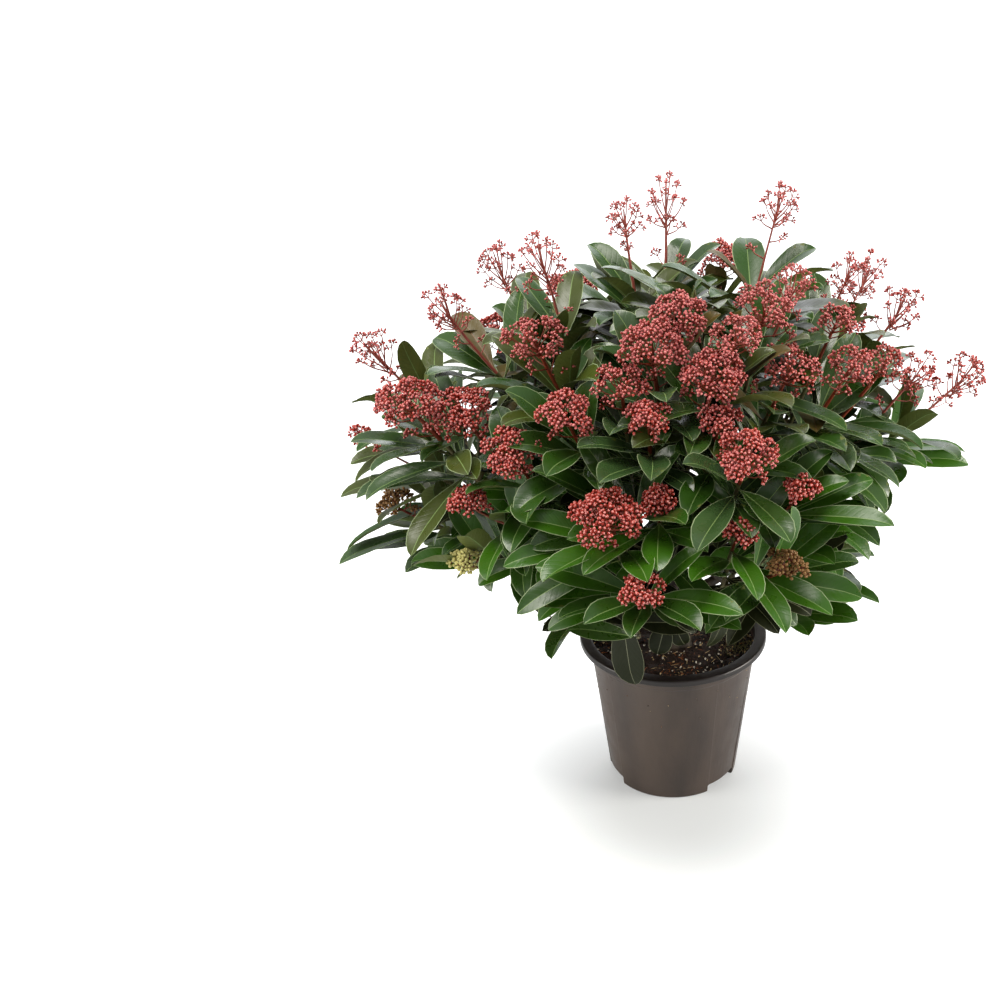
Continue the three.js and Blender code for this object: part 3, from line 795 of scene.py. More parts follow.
LIMB_ROWS = (
    LimbRow("leader", 0, 0, 84),
    LimbRow("front", -90),
    LimbRow("front_right", -30),
    LimbRow("back_right", 30),
    LimbRow("back", 90),
    LimbRow("back_left", 150),
    LimbRow("front_left", 210),
)
MASSES = {
    "leader": (
        Mass("crown_top", 133, 5, 430, 190, 4, 80, 2),
        Mass("crown_right", -23, 12, 432, -5, 9, 80),
        Mass("crown_front", -87, 22, 390, -45, 5, 50),
        Mass("crown_back", 90, 24, 355, 30, 9, 50),
    ),
    "front": (
        Mass("front_mid", -102, 34, 355, 30, 6, 45),
        Mass("front_low", -99, 47, 322, 55, 6, 40),
        Mass("front_high", -119, 24, 385, 175, 8, 60, 2),
    ),
    "front_right": (
        Mass("right_mid", -72, 37, 350, -60, 6, 45),
        Mass("right_low", -67, 48, 320, 45, 7, 40),
        Mass("right_high", -58, 25, 388, -40, 5, 55),
        Mass("skirt_right", -24, 50, 188, 90, 20, 0),
    ),
    "back_right": (
        Mass("right_side", -28, 29, 380, 76, 5, 65),
        Mass("right_out", -3, 43, 390, -40, 5, 85, 2),
        Mass("right_top", 12, 29, 395, 100, 5, 75),
        Mass("back_right", 50, 40, 335, 30, 9, 50),
    ),
    "back": (
        Mass("back_mid", 92, 42, 335, 50, 9, 50),
        Mass("skirt_back_right", 45, 58, 180, 90, 22, 0),
    ),
    "back_left": (
        Mass("back_left", 135, 38, 345, 20, 9, 50),
        Mass("left_top", 180, 25, 402, 55, 9, 75),
        Mass("skirt_back_left", 135, 58, 195, 90, 22, 0),
    ),
    "front_left": (
        Mass("left_out", -175, 47, 385, 90, 6, 75, 2),
        Mass("left_mid", -142, 41, 346, 25, 8, 50),
        Mass("left_low", -158, 54, 326, 85, 12, 45),
        Mass("skirt_front", -122, 52, 186, 90, 20, 0),
    ),
}


@dataclass(frozen=True)
class HeadShape:
    """The sizes of a full head of buds, and how it is filled."""

    height: float
    radius: float
    cap: float  # the cap's height, in half heights
    rise: float  # how much more upright it stands than its shoot, up to 1
    clumps: int
    forks: int  # in each clump
    buds: int  # on each fork
    bud: float  # a bud's radius
    reach: float  # and how far it stands off its fork


class HeadStyle(Enum):
    """How a shoot ends."""

    SPIKE = HeadShape(74, 25, 0.82, 0.25, 11, 3, 4, 1.2, 2.3)
    LOOSE = HeadShape(54, 36, 0.85, 0.5, 14, 5, 4, 1.42, 2.9)
    DOME = HeadShape(50, 34, 0.85, 0.6, 14, 6, 5, 1.52, 3.0)
    NONE = HeadShape(0, 0, 0, 0, 0, 0, 0, 0, 0)


@dataclass(frozen=True)
class Tip:
    """How a shoot's tip differs from the rule: its head's size and how far it has grown aside."""

    size: float = 0.85
    aside: Triple = (0, 0, 0)
    bloom: Optional[BudTone] = None  # the tone of a head past its bloom or before it


NO_HEAD = Tip(0)
TIPS = {
    "crown_top": (Tip(0.95), Tip(0.72)),
    "crown_right": (Tip(0.9, (-8, 0, 26)), NO_HEAD, Tip(0.95, (-14, 0, 0))),
    "crown_front": (Tip(1.0, (4, 0, 0)), Tip(0.84, (-14, 0, -6)), Tip(0.96, (8, 0, 6))),
    "crown_back": (NO_HEAD, Tip(0.7), NO_HEAD),
    "front_mid": (Tip(0.6, (-12, 0, 0)), Tip(0.72, (-18, 0, 8)), NO_HEAD),
    "front_low": (Tip(0.42, (0, 12, 8)), Tip(1.0, (14, 0, 10)), Tip(0.56, (2, -16, 0))),
    "front_high": (Tip(0.92), Tip(0.72, (-14, 0, -10))),
    "right_mid": (NO_HEAD, Tip(0.5, (-34, 0, -10)), Tip(0.86, (30, 0, 16))),
    "right_low": (Tip(0.42, (-8, 0, 12)), Tip(0.35), Tip(0.45, (-6, 0, 18), BudTone.SPENT)),
    "right_high": (Tip(0.86, (-14, 0, 8)), Tip(0.86), Tip(0.7, (-14, 0, 34))),
    "right_side": (Tip(0.56), Tip(0.66), Tip(0.56)),
    "right_out": (Tip(1.0), Tip(0.8, (-30, 0, -14))),
    "left_out": (Tip(1.0, (-10, 0, 0)), Tip(0.4)),
    "left_mid": (Tip(0.86, (0, 0, -10)), Tip(1.0), Tip(0.5, (16, 0, 0))),
    "left_low": (Tip(1.0, (-18, 0, 24)), Tip(0.5, (0, 0, -10), BudTone.SPENT),
                 Tip(0.4, (40, 0, 10), BudTone.CREAM)),
    "left_top": (Tip(1.0, (8, 0, -4)), Tip(0.95), Tip(0.95, (0, 0, 30))),
}

@dataclass
class Branch:
    """A limb from the stem's head to its fork, or a bough from there to the foot of its mass."""

    row: Union[LimbRow, Mass]
    axis: Vector
    curve: Sweep
    limb: str = ""  # the name of the limb that bears a bough


@dataclass
class Shoot:
    """A leafy shoot, with a head of buds or none."""

    mass: str
    curve: Sweep
    facing: Vector
    style: HeadStyle
    stream: Stream
    bare: float = 0.0
    leafed: float = 58.0
    leaves: int = 12
    leaf_scale: float = 1.0
    tip: Tip = NO_HEAD

    def __post_init__(self) -> None:
        """Measure the shoot and draw where its leaves start round it."""
        self.length = self.curve.length()
        self.phase = self.stream.draw() * 360

    @property
    def headed(self) -> bool:
        """Whether the shoot bears a head of buds."""
        return self.tip.size > 0

    @property
    def head_axis(self) -> Vector:
        """The axis of the shoot's head."""
        return self.facing.lerp(UP, self.style.value.rise).normalized()

    def back_from_tip(self, distance: float) -> Vector:
        """Return the point that lies a length back from the tip."""
        return self.curve.point(self.share_from_tip(distance))

    def share_from_tip(self, distance: float) -> float:
        """Return the curve's parameter a length back from the tip."""
        return max(0.0, 1 - distance / self.length)


@dataclass
class Leaf:
    """A leaf: where it is rooted, which way it points and faces, and how it is coloured."""

    mass: str
    root: Vector
    axis: Vector
    way: Vector
    normal: Vector
    length: float
    bend: float
    age: float
    tone: LeafTone = LeafTone.GREEN
    width: float = 0.36
    sway: float = 0.0
    roll: float = 0.0
    phase: float = 0.0
    fold: float = 0.42

    def moved(self, twist: float, lift: float, scale: float) -> Leaf:
        """Return the leaf in another place.

        Args:
            twist: Its turn about its shoot, in degrees.
            lift: How far it is raised towards the way it faces, in degrees.
            scale: Its length as a share of what it was.

        Returns:
            The moved leaf.
        """
        turn = Quaternion(self.axis, math.radians(twist))
        way, normal = turn @ self.way, turn @ self.normal
        rise = Quaternion(way.cross(normal), math.radians(lift))
        return replace(self, way=rise @ way, normal=rise @ normal, length=self.length * scale)

    def point(self, share: float, wide: float) -> Vector:
        """Return a point of the leaf.

        Args:
            share: The share of its length.
            wide: The distance out from its midrib, to one side or the other.

        Returns:
            The point, in millimetres.
        """
        angle, height = self.bend * share, abs(wide) * LeafRule.fold
        forth = self.length * math.sin(angle) / self.bend + height * math.sin(angle) - LeafRule.sink
        down = height * math.cos(angle) - self.length * (1 - math.cos(angle)) / self.bend
        return self.root + self.way * forth + self.normal * down + self.way.cross(self.normal) * wide


class LeafRule:
    """How leaves stand on a shoot, from the youngest at the top to the oldest."""

    count = 12
    every = 2  # the solids have one in so many, and those find their room first
    lengths = (78.0, 108.0)
    pitches = (42.0, 86.0)
    bends = (0.2, 0.38)
    turn_slip, pitch_slip, length_slip, bend_slip = 24.0, 16.0, 0.3, 0.26
    sink = 1.2
    fold = 0.2
    first_turn = 70.0
    skyward = 0.45
    sag = 0.12
    scales = (1.0, 0.86, 0.72)
    lifts = (0, 16, 32)
    twists = (0, 22, -22, 44, -44)
    overlap = 14.0  # how far a leaf may lean over into the next mass's room
    inner = 6  # old leaves that a shoot keeps below the others
    inner_first, inner_gap = 8.0, 13.0
    inner_pitch, inner_age = 70.0, 1.2

    @classmethod
    def leaf(cls, shoot: Shoot, stream: Stream, rank: int, back: float, pitch: float, age: float) -> Leaf:
        """Return one leaf of a shoot, as long and as bent as its age says.

        Args:
            shoot: The shoot.
            stream: Where the leaf's own slips are drawn from.
            rank: Its rank from the top.
            back: How far below the shoot's tip it is rooted.
            pitch: Its lean off the shoot, in degrees.
            age: Its age: from 0 to 1, or more for a leaf of earlier years.

        Returns:
            The leaf.
        """
        turn = shoot.phase + cls.first_turn + GOLDEN_ANGLE * rank + stream.slip(cls.turn_slip)
        way = leaning(shoot.facing, turn, pitch + stream.slip(cls.pitch_slip))
        way.z *= cls.sag if way.z < 0 else 1
        way.normalize()
        length = (mix(*cls.lengths, age) if age <= 1 else cls.lengths[0]) * (1 + stream.slip(cls.length_slip))
        bend = mix(*cls.bends, age) + stream.slip(cls.bend_slip) if age <= 1 else cls.bends[1]
        normal = squared(shoot.facing.lerp(UP, cls.skyward), way)
        return Leaf(shoot.mass, shoot.back_from_tip(back), shoot.facing, way, normal, length, bend, age)

    @classmethod
    def plan(cls, shoot: Shoot) -> list[Leaf]:
        """Return the leaves of a shoot.

        Args:
            shoot: The shoot.

        Returns:
            The leaves, from the top down.
        """
        leaves = []
        for rank in range(shoot.leaves):
            age = rank / (shoot.leaves - 1)
            back = shoot.bare + shoot.leafed * age
            leaves.append(cls.leaf(shoot, shoot.stream, rank, back, mix(*cls.pitches, age), age))
            leaves[-1].length *= shoot.leaf_scale
        return leaves

    @classmethod
    def plan_inner(cls, shoot: Shoot) -> list[Leaf]:
        """Return the old leaves that a shoot keeps inside the crown.

        Args:
            shoot: The shoot.

        Returns:
            As many as it is long enough for.
        """
        stream = Stream(round(shoot.phase * 100))
        first = shoot.bare + shoot.leafed + cls.inner_first
        backs = [first + cls.inner_gap * i for i in range(cls.inner)]
        return [cls.leaf(shoot, stream, cls.count + i, back, cls.inner_pitch, cls.inner_age)
                for i, back in enumerate(backs) if back <= shoot.length]


class Plan:
    """Works out the limbs, boughs, shoots and leaves of the whole plant."""

    limb_radius = 5.5
    limb_lean = 0.9  # a fork's tilt as a share of its limb's
    bough_radius = 2.1
    bough_share, skirt_share = 0.46, 0.64  # a bough's reach as a share of its mass's
    limb_hold, bough_hold, shoot_hold = 0.4, 0.36, 0.35  # how long each keeps to the way it starts in
    stem_length = 14.0
    shoot_sink = 4.0
    shoot_lean = 0.92
    turn_slip, reach_slip = 20, 14
    side_seed = 5000
    side_back = (0.9, 1.3)  # where finer shoots leave a longer one, as shares of its leafy length
    side_turn, side_lean, side_reach, side_rise = 60, (42, 58), (42, 56), 8
    side_hold = 0.4
    outer_growth = 0.2  # how much longer leaves are at the crown's left and right ends
    outer_from, outer_to = 170.0, 290.0  # and the distances from the middle between which they lengthen
    low_growth, low_below = 0.14, 430.0  # and on shoots that end below a height
    hanging = (  # old leaves that hang: from which bough, the share of its length, and where their tips are
        ("skirt_front", 1.0, (-41, -112, 166)),
        ("front_low", 0.3, (-16, -84, 182)),
        ("front_low", 0.2, (12, -74, 186)),
        ("right_low", 0.3, (38, -70, 182)),
    )

    def __init__(self, stem_head: Vector) -> None:
        """Plan the plant.

        Args:
            stem_head: The middle of the flat head of its stem.
        """
        self.stem_head = stem_head
        self.limbs = self._limbs()
        self.boughs = [bough for limb in self.limbs for bough in self._boughs(limb)]
        self.shoots = [shoot for i, bough in enumerate(self.boughs) for shoot in self._shoots(bough, i)]
        self.side = [self._side_shoot(shoot, i) for i, shoot in enumerate(self.shoots) if shoot.bare > 0]

    @staticmethod
    def from_heart(row: Union[Mass, LimbRow], reach: float) -> Vector:
        """Return the point at a row's azimuth and tilt, a reach from the heart of the plant."""
        return HEART + direction(row.azimuth, row.tilt) * reach

    @staticmethod
    def seats(end: Vector, axis: Vector, targets: Sequence[Vector], offset: float,
              middle: int = 0) -> list[Vector]:
        """Return seats for limbs on a flat end, each on the side that it grows towards.

        Args:
            end: The middle of the end.
            axis: The way it faces.
            targets: Where the limbs grow to.
            offset: How far from the middle they are seated.
            middle: How many of the first stand in the middle itself.

        Returns:
            A seat for each target.
        """
        level, rise = across(axis)
        angles = [math.degrees(math.atan2((t - end).dot(rise), (t - end).dot(level))) for t in targets]
        order = sorted(range(middle, len(targets)), key=lambda i: angles[i])
        slot = 360 / (len(targets) - middle)
        slips = [math.radians(angles[i] - slot * rank) for rank, i in enumerate(order)]
        first = math.degrees(math.atan2(sum(map(math.sin, slips)), sum(map(math.cos, slips))))
        found = [end + axis * CLEARANCE] * len(targets)
        for rank, i in enumerate(order):
            turn = math.radians(first + slot * rank)
            found[i] = found[i] + (level * math.cos(turn) + rise * math.sin(turn)) * offset
        return found

    def _limbs(self) -> list[Branch]:
        """Return the limbs."""
        forks = [self.from_heart(row, row.length) for row in LIMB_ROWS]
        axes = [direction(row.azimuth, row.tilt * self.limb_lean) for row in LIMB_ROWS]
        roots = self.seats(self.stem_head, UP, forks, 2 * self.limb_radius + 2 * CLEARANCE, 1)
        return [Branch(row, axis, Sweep.between(root, UP, fork, axis, self.limb_hold))
                for row, axis, root, fork in zip(LIMB_ROWS, axes, roots, forks)]

    def _boughs(self, limb: Branch) -> list[Branch]:
        """Return the boughs of a limb.

        Args:
            limb: The limb.

        Returns:
            One for each of its masses.
        """
        masses = MASSES[limb.row.name]
        tips = [self.from_heart(m, m.reach * (self.bough_share if m.stalk > 0 else self.skirt_share))
                for m in masses]
        axes = [direction(m.azimuth, m.tilt) for m in masses]
        offset = (self.bough_radius + CLEARANCE / 2) / math.sin(math.pi / len(masses))
        roots = self.seats(limb.curve.end, limb.axis, tips, offset)
        return [Branch(m, axis, Sweep.between(root, limb.axis, tip, axis, self.bough_hold), limb.row.name)
                for m, axis, root, tip in zip(masses, axes, roots, tips)]

    def _shoots(self, bough: Branch, index: int) -> list[Shoot]:
        """Return the shoots of a bough's mass.

        Args:
            bough: The bough.
            index: Its place among all the boughs, which gives its shoots their seeds.

        Returns:
            The shoots.
        """
        mass, axis = bough.row, bough.axis
        start = bough.curve.end + axis * (CLEARANCE + self.stem_length - self.shoot_sink)
        shoots = []
        for k in range(mass.shoots):
            stream = Stream(SEED + index * STREAMS_PER_MASS + k)
            turn = mass.turn + 360 / mass.shoots * k + stream.slip(self.turn_slip)
            heading = leaning(axis, turn, mass.spread)
            tilt = math.degrees(heading.angle(UP))
            reach = mass.reach + DOME_FALL * (mass.tilt - tilt) + stream.slip(self.reach_slip)
            facing = direction(math.degrees(math.atan2(heading.y, heading.x)), tilt * self.shoot_lean)
            tip = self.tip_of(mass, k)
            end = HEART + heading * reach + Vector(tip.aside)
            outer = held((abs(end.x) - self.outer_from) / (self.outer_to - self.outer_from))
            shoots.append(Shoot(
                mass.name, Sweep.between(start, (end - start).normalized(), end, facing, self.shoot_hold),
                facing, self.style_of(mass.stalk), stream, bare=mass.stalk, tip=tip,
                leaf_scale=1 + max(self.outer_growth * outer, self.low_growth * (end.z < self.low_below)),
            ))
        return shoots

    @staticmethod
    def tip_of(mass: Mass, rank: int) -> Tip:
        """Return how a mass's shoot ends, by its rank within the mass."""
        usual = Tip(0.68 + 0.12 * (rank * 2 % 3)) if mass.stalk > 0 else NO_HEAD
        return TIPS[mass.name][rank] if mass.name in TIPS else usual

    @staticmethod
    def style_of(stalk: float) -> HeadStyle:
        """Return the style of the head on a stalk of a given length."""
        styles = ((SPIKE_STALK, HeadStyle.SPIKE), (LOOSE_STALK, HeadStyle.LOOSE), (1, HeadStyle.DOME))
        return next((style for least, style in styles if stalk >= least), HeadStyle.NONE)

    def hanging_leaves(self) -> list[Leaf]:
        """Return the old leaves that hang in front of the stem and over the front of the pot's rim."""
        boughs = {bough.row.name: bough.curve for bough in self.boughs}
        leaves = []
        for mass, share, tip in self.hanging:
            root = boughs[mass].point(share)
            drop = Vector(tip) - root
            way = drop.normalized()
            normal = squared(Vector((root.x, root.y, 0)).normalized(), way)
            leaves.append(Leaf(mass, root, way, way, normal, drop.length, bend=0.08, age=1.3,
                               tone=LeafTone.OLD, width=0.46, fold=0.25))
        return leaves

    def _side_shoot(self, shoot: Shoot, index: int) -> Shoot:
        """Return the short finer shoot that stands below the leaves of a longer one.

        Args:
            shoot: The longer shoot.
            index: Its place among them all, which gives the finer one its seed.

        Returns:
            The finer shoot.
        """
        stream = Stream(SEED + self.side_seed + index * STREAMS_PER_MASS)
        start = shoot.back_from_tip(shoot.bare + shoot.leafed * stream.between(*self.side_back))
        turn = shoot.phase + stream.slip(self.side_turn)
        heading = leaning(shoot.facing, turn, stream.between(*self.side_lean))
        end = start + heading * stream.between(*self.side_reach) + UP * self.side_rise
        ahead = heading.lerp(shoot.facing, self.side_hold).normalized()
        curve = Sweep.between(start, heading, end, ahead, self.shoot_hold)
        return Shoot(shoot.mass, curve, curve.tangent(1), HeadStyle.NONE, stream,
                     leafed=26, leaves=5, leaf_scale=0.74)


Room = tuple[BVHTree, BVHTree]  # a leaf's whole surface and the part past its stalk


class RoomFinder:
    """Finds room for each leaf among the limbs, the heads and the leaves that are there already."""

    # Where a leaf is tested: shares of its length, and how wide it is taken to be there.
    test_rows = ((0.0, 0.05), (0.2, 0.55), (0.42, 0.93), (0.64, 0.97), (0.84, 0.7), (1.0, 0.06))
    neighbourhood = 130.0
    twig_gap = 3.4
    pot_gap = 3.0
    wall_gap = 4.0
    head_share = 0.86  # the share of a head's reach that leaves keep out of
    # The crown's hem: its heights from left to right over the pot's middle line, which rise towards the front
    # by the slope, and further back no lower than a cone that rises outwards from the pot's rim.
    hem = ((-330, 240), (-235, 224), (-150, 190), (-100, 140), (-80, 158), (88, 158), (130, 165), (196, 204),
           (207, 300), (260, 336), (330, 380))
    hem_slope = 0.62
    hem_old = 16.0  # how much lower the skirts' leaves may hang
    edge_slopes = (0.35, 0.2)  # the cone's slope, and for the skirts' leaves
    leaf_top = 568.0  # the height that no leaf passes over the pot's middle line
    top_slope = 0.1  # how that height falls towards the back

    def __init__(self, plan: Plan, pot: Pot) -> None:
        """Take up the room that is given from the start.

        Args:
            plan: The plant's plan.
            pot: The pot that leaves must stay out of.
        """
        self.pot = pot
        self.sites = [(s.mass, s.back_from_tip(s.bare + s.leafed / 2)) for s in plan.shoots]
        heads = [s for s in plan.shoots if s.headed]
        self.head_centres = np.array([s.curve.end for s in heads])
        self.head_axes = np.array([s.head_axis for s in heads])
        sizes = [(s.style.value.radius * s.tip.size, s.style.value.height / 2 * s.tip.size) for s in heads]
        self.head_sizes = np.array(sizes) * self.head_share
        points = [p for grown in plan.limbs + plan.boughs + plan.shoots for p in grown.curve.run(0, 1, 40)]
        self.twigs = kdtree.KDTree(len(points))
        for i, point in enumerate(points):
            self.twigs.insert(point, i)
        self.twigs.balance()
        self.placed: list[tuple[str, Vector, Room]] = []

    def own_room(self, mass: str, tip: Vector) -> bool:
        """Say whether a leaf's tip lies nearer its own mass's leafy shoots than any other's."""
        own, other = (min((site - tip).length for owner, site in self.sites if (owner == mass) is mine)
                      for mine in (True, False))
        return own < other + LeafRule.overlap

    def clear_of_heads(self, points: np.ndarray) -> bool:
        """Say whether points lie outside every head of buds.

        Args:
            points: The points, a row each.

        Returns:
            Whether they all do.
        """
        away = points[:, None, :] - self.head_centres[None]
        along = np.einsum("phk,hk->ph", away, self.head_axes)
        out = np.sqrt(np.maximum(np.einsum("phk,phk->ph", away, away) - along ** 2, 0))
        depth = (out / self.head_sizes[:, 0]) ** 2 + (along / self.head_sizes[:, 1]) ** 2
        return bool((depth > 1).all())

    def in_bounds(self, points: np.ndarray, old: bool) -> bool:
        """Say whether points lie clear of the pot and over the crown's hem, which keeps the soil in view.

        Args:
            points: The points, a row each.
            old: Whether they are of a skirt's leaf, which may hang lower.

        Returns:
            Whether they all do.
        """
        pot = self.pot
        x, y, z = points.T
        out = np.hypot(x, y)
        inside = (out < pot.inner_radius(pot.height) - self.wall_gap) & (z > pot.soil_level + self.pot_gap)
        clear = (z >= pot.height + self.pot_gap) | inside | (out > pot.rim_radius + self.pot_gap)
        lowest = np.interp(x, *zip(*self.hem)) - self.hem_slope * y - self.hem_old * old
        lowest = np.maximum(lowest, pot.height + self.edge_slopes[old] * np.maximum(out - pot.rim_radius, 0))
        return bool((clear & (z > lowest) & (z < self.leaf_top - self.top_slope * y)).all())

    def outline(self, leaf: Leaf) -> list[Vector]:
        """Return the points that a leaf is tested by, three to a row from its root to its tip."""
        half = leaf.length * leaf.width / 2
        return [leaf.point(s, side * half * w) for s, w in self.test_rows for side in (-1, 0, 1)]

    @staticmethod
    def room(vertices: Sequence[Vector]) -> Room:
        """Return the room of a leaf with such an outline."""
        firsts = [r + c for r in range(0, len(vertices) - 3, 3) for c in (0, 1)]
        faces = [(first, first + 1, first + 4, first + 3) for first in firsts]
        return tuple(BVHTree.FromPolygons(vertices, part, epsilon=0.3) for part in (faces, faces[2:]))

    def keep(self, leaf: Leaf, room: Room) -> None:
        """Keep the room that a leaf takes up."""
        self.placed.append((leaf.mass, leaf.point(0.5, 0), room))

    def fits(self, leaf: Leaf) -> Optional[Room]:
        """Test whether a leaf fits.

        Args:
            leaf: The leaf to test.

        Returns:
            Its room, or None if it doesn't fit.
        """
        if not self.own_room(leaf.mass, leaf.point(1, 0)):
            return None
        vertices = self.outline(leaf)
        points = np.array(vertices[3:])
        if not (self.in_bounds(points, leaf.mass.startswith("skirt")) and self.clear_of_heads(points)):
            return None
        if any(self.twigs.find(p)[2] < self.twig_gap for p in vertices[3:]):
            return None
        room, middle = self.room(vertices), leaf.point(0.5, 0)
        for mass, other, taken in self.placed:
            part = mass == leaf.mass  # leaves of one mass may touch at their stalks
            near = (other - middle).length_squared <= self.neighbourhood ** 2
            if near and room[part].overlap(taken[part]):
                return None
        return room

    def settle(self, leaf: Leaf) -> Optional[Leaf]:
        """Find a leaf its place.

        Args:
            leaf: The leaf as it would stand.

        Returns:
            It at the first of its sizes, lifts and twists that fits, or None.
        """
        for scale, lift, twist in itertools.product(LeafRule.scales, LeafRule.lifts, LeafRule.twists):
            tried = leaf.moved(twist, lift, scale)
            room = self.fits(tried)
            if room:
                self.keep(tried, room)
                return tried
        return None


# ---- leaves


class LeafCutter:
    """Cuts leaf blades: a folded upper face, a ribbed underside and a pale edge all round."""

    CHART = "blade"
    CHART_MM = 160.0  # the width and height of the UV map, in millimetres
    shares = (0.0, 0.045, 0.09, 0.18, 0.3, 0.44, 0.58, 0.71, 0.83, 0.92, 0.975, 1.0)
    columns = 8
    stalk_share = 0.07
    widest = 0.62
    fullness = 1.9
    blunt = 0.78  # how much fuller a leaf is past its widest than before it
    stalk_half, stalk_taper, tip_half = 1.15, 0.75, 0.3
    edge_half = 0.55  # the width of the pale edge
    rib_half, rib_tip, rib_under = 0.55, 0.22, 1.2
    trim_share = 0.3  # the most of a half width that the edge or the rib takes up
    thickness, thinning = 0.9, 0.6
    ripple, ripples = 0.9, 9
    tip_curl, curl_from = 5.0, 0.75
    flattening = 0.19  # how the fold, steep at the midrib, levels out
    sharp = 50.0

    def half_width(self, share: float) -> float:
        """Return a leaf's outline.

        Args:
            share: A share of its length.

        Returns:
            Its half width there, as a share of its greatest.
        """
        if share <= self.stalk_share:
            return 0.0
        t, m = ((at - self.stalk_share) / (1 - self.stalk_share) for at in (share, self.widest))
        rise, fall = self.fullness * m, self.fullness * (1 - m) * self.blunt
        return (t / m) ** rise * ((1 - t) / (1 - m)) ** fall

    def faces(self) -> tuple[list[tuple[int, ...]], list[int]]:
        """Return the faces that every leaf has.

        Returns:
            The faces, and the part that each belongs to: 0 blade, 1 edge, 2 midrib, 3 underside.
        """
        row = self.columns + 2
        upper = [(c, c + 1, part) for c, part in enumerate((1, 0, 0, 2, 0, 0, 1))]
        left, right = self.columns, self.columns + 1  # the underside's points beside the midrib
        lower = [(left, 0, 3), (right, left, 2), (self.columns - 1, right, 3)]
        faces: list[tuple[int, ...]] = []
        for r in range(0, row * (len(self.shares) - 1), row):
            faces += [(r + a, r + b, r + row + b, r + row + a) for a, b, _ in upper + lower]
        parts = [part for _, _, part in upper + lower] * (len(self.shares) - 1)
        ring = [*range(self.columns), right, left]
        last = (len(self.shares) - 1) * row
        return faces + [tuple(reversed(ring)), tuple(last + i for i in ring)], parts + [2, 1]

    def vertices(self, leaf: Leaf) -> tuple[np.ndarray, np.ndarray]:
        """Return the points of one leaf.

        Args:
            leaf: The leaf.

        Returns:
            The points, in metres, and their places on its chart.
        """
        points, chart = [], []
        half = leaf.length * leaf.width / 2
        side = leaf.way.cross(leaf.normal)
        for share in self.shares:
            stalk = self.stalk_half * (1 - self.stalk_taper * share)
            wide = max(half * self.half_width(share), stalk, self.tip_half)
            edge = min(self.edge_half, wide * self.trim_share) / wide
            rib = min(mix(self.rib_half, self.rib_tip, share), wide * self.trim_share) / wide
            angle = leaf.bend * share
            ahead = leaf.way * math.cos(angle) - leaf.normal * math.sin(angle)
            above = leaf.way * math.sin(angle) + leaf.normal * math.cos(angle)
            roll = Quaternion(ahead, leaf.roll * share)
            out, high = roll @ side, roll @ above
            middle = leaf.point(share, 0) + side * (leaf.sway * leaf.length * share ** 2)
            middle -= above * (self.tip_curl * max(0.0, (share - self.curl_from) / (1 - self.curl_from)) ** 2)
            wave = self.ripple * math.sin(self.ripples * share + leaf.phase) * min(1.0, wide / 10)
            under = -self.rib_under * rib, self.rib_under * rib
            for column, place in enumerate((-1, edge - 1, -0.5, -rib, rib, 0.5, 1 - edge, 1, *under)):
                x = place * wide
                lift = leaf.fold * abs(x) - self.flattening * x * x / half + wave * place * abs(place)
                if column >= self.columns:
                    lift = -self.thickness * (1 - self.thinning * share)
                points.append(middle + out * x + high * lift)
                chart.append((0.5 + x / self.CHART_MM, share * leaf.length / self.CHART_MM))
        return np.array(points) * MM, np.array(chart)

    def mesh(self, name: str, leaves: Sequence[Leaf]) -> Mesh:
        """Join leaves in one mesh.

        Args:
            name: The mesh's name.
            leaves: The leaves.

        Returns:
            The mesh, with a UV map and its materials.
        """
        template, parts = self.faces()
        points, charts = (np.concatenate(arrays) for arrays in zip(*map(self.vertices, leaves)))
        size = len(self.shares) * (self.columns + 2)
        faces = [tuple(v + n * size for v in face) for n in range(len(leaves)) for face in template]
        mesh = bpy.data.meshes.new(name)
        mesh.from_pydata(points.tolist(), [], faces)
        finishes: list[Enum] = []
        slots = []
        for leaf in leaves:
            bronze = leaf.tone is LeafTone.BRONZE
            trims = (LeafTrim.EDGE, LeafTrim.RIB, LeafTrim.UNDER)
            if bronze or leaf.tone is LeafTone.OLD:
                rib = LeafTrim.BROWN_RIB if bronze else LeafTrim.DULL_EDGE
                trims = (LeafTrim.DULL_EDGE, rib, LeafTrim.BROWN_UNDER)
            dress = (leaf.tone, *trims)
            finishes += [finish for finish in dict.fromkeys(dress) if finish not in finishes]
            slots += [finishes.index(dress[part]) for part in parts]
        for finish in finishes:
            mesh.materials.append(stock(finish))
        mesh.polygons.foreach_set("material_index", slots)
        corners = np.zeros(len(mesh.loops), np.int32)
        mesh.loops.foreach_get("vertex_index", corners)
        mesh.uv_layers.new(name=self.CHART).data.foreach_set("uv", charts[corners].ravel())
        mesh.shade_smooth()
        mesh.set_sharp_from_angle(angle=math.radians(self.sharp))
        return mesh


# ---- heads of buds


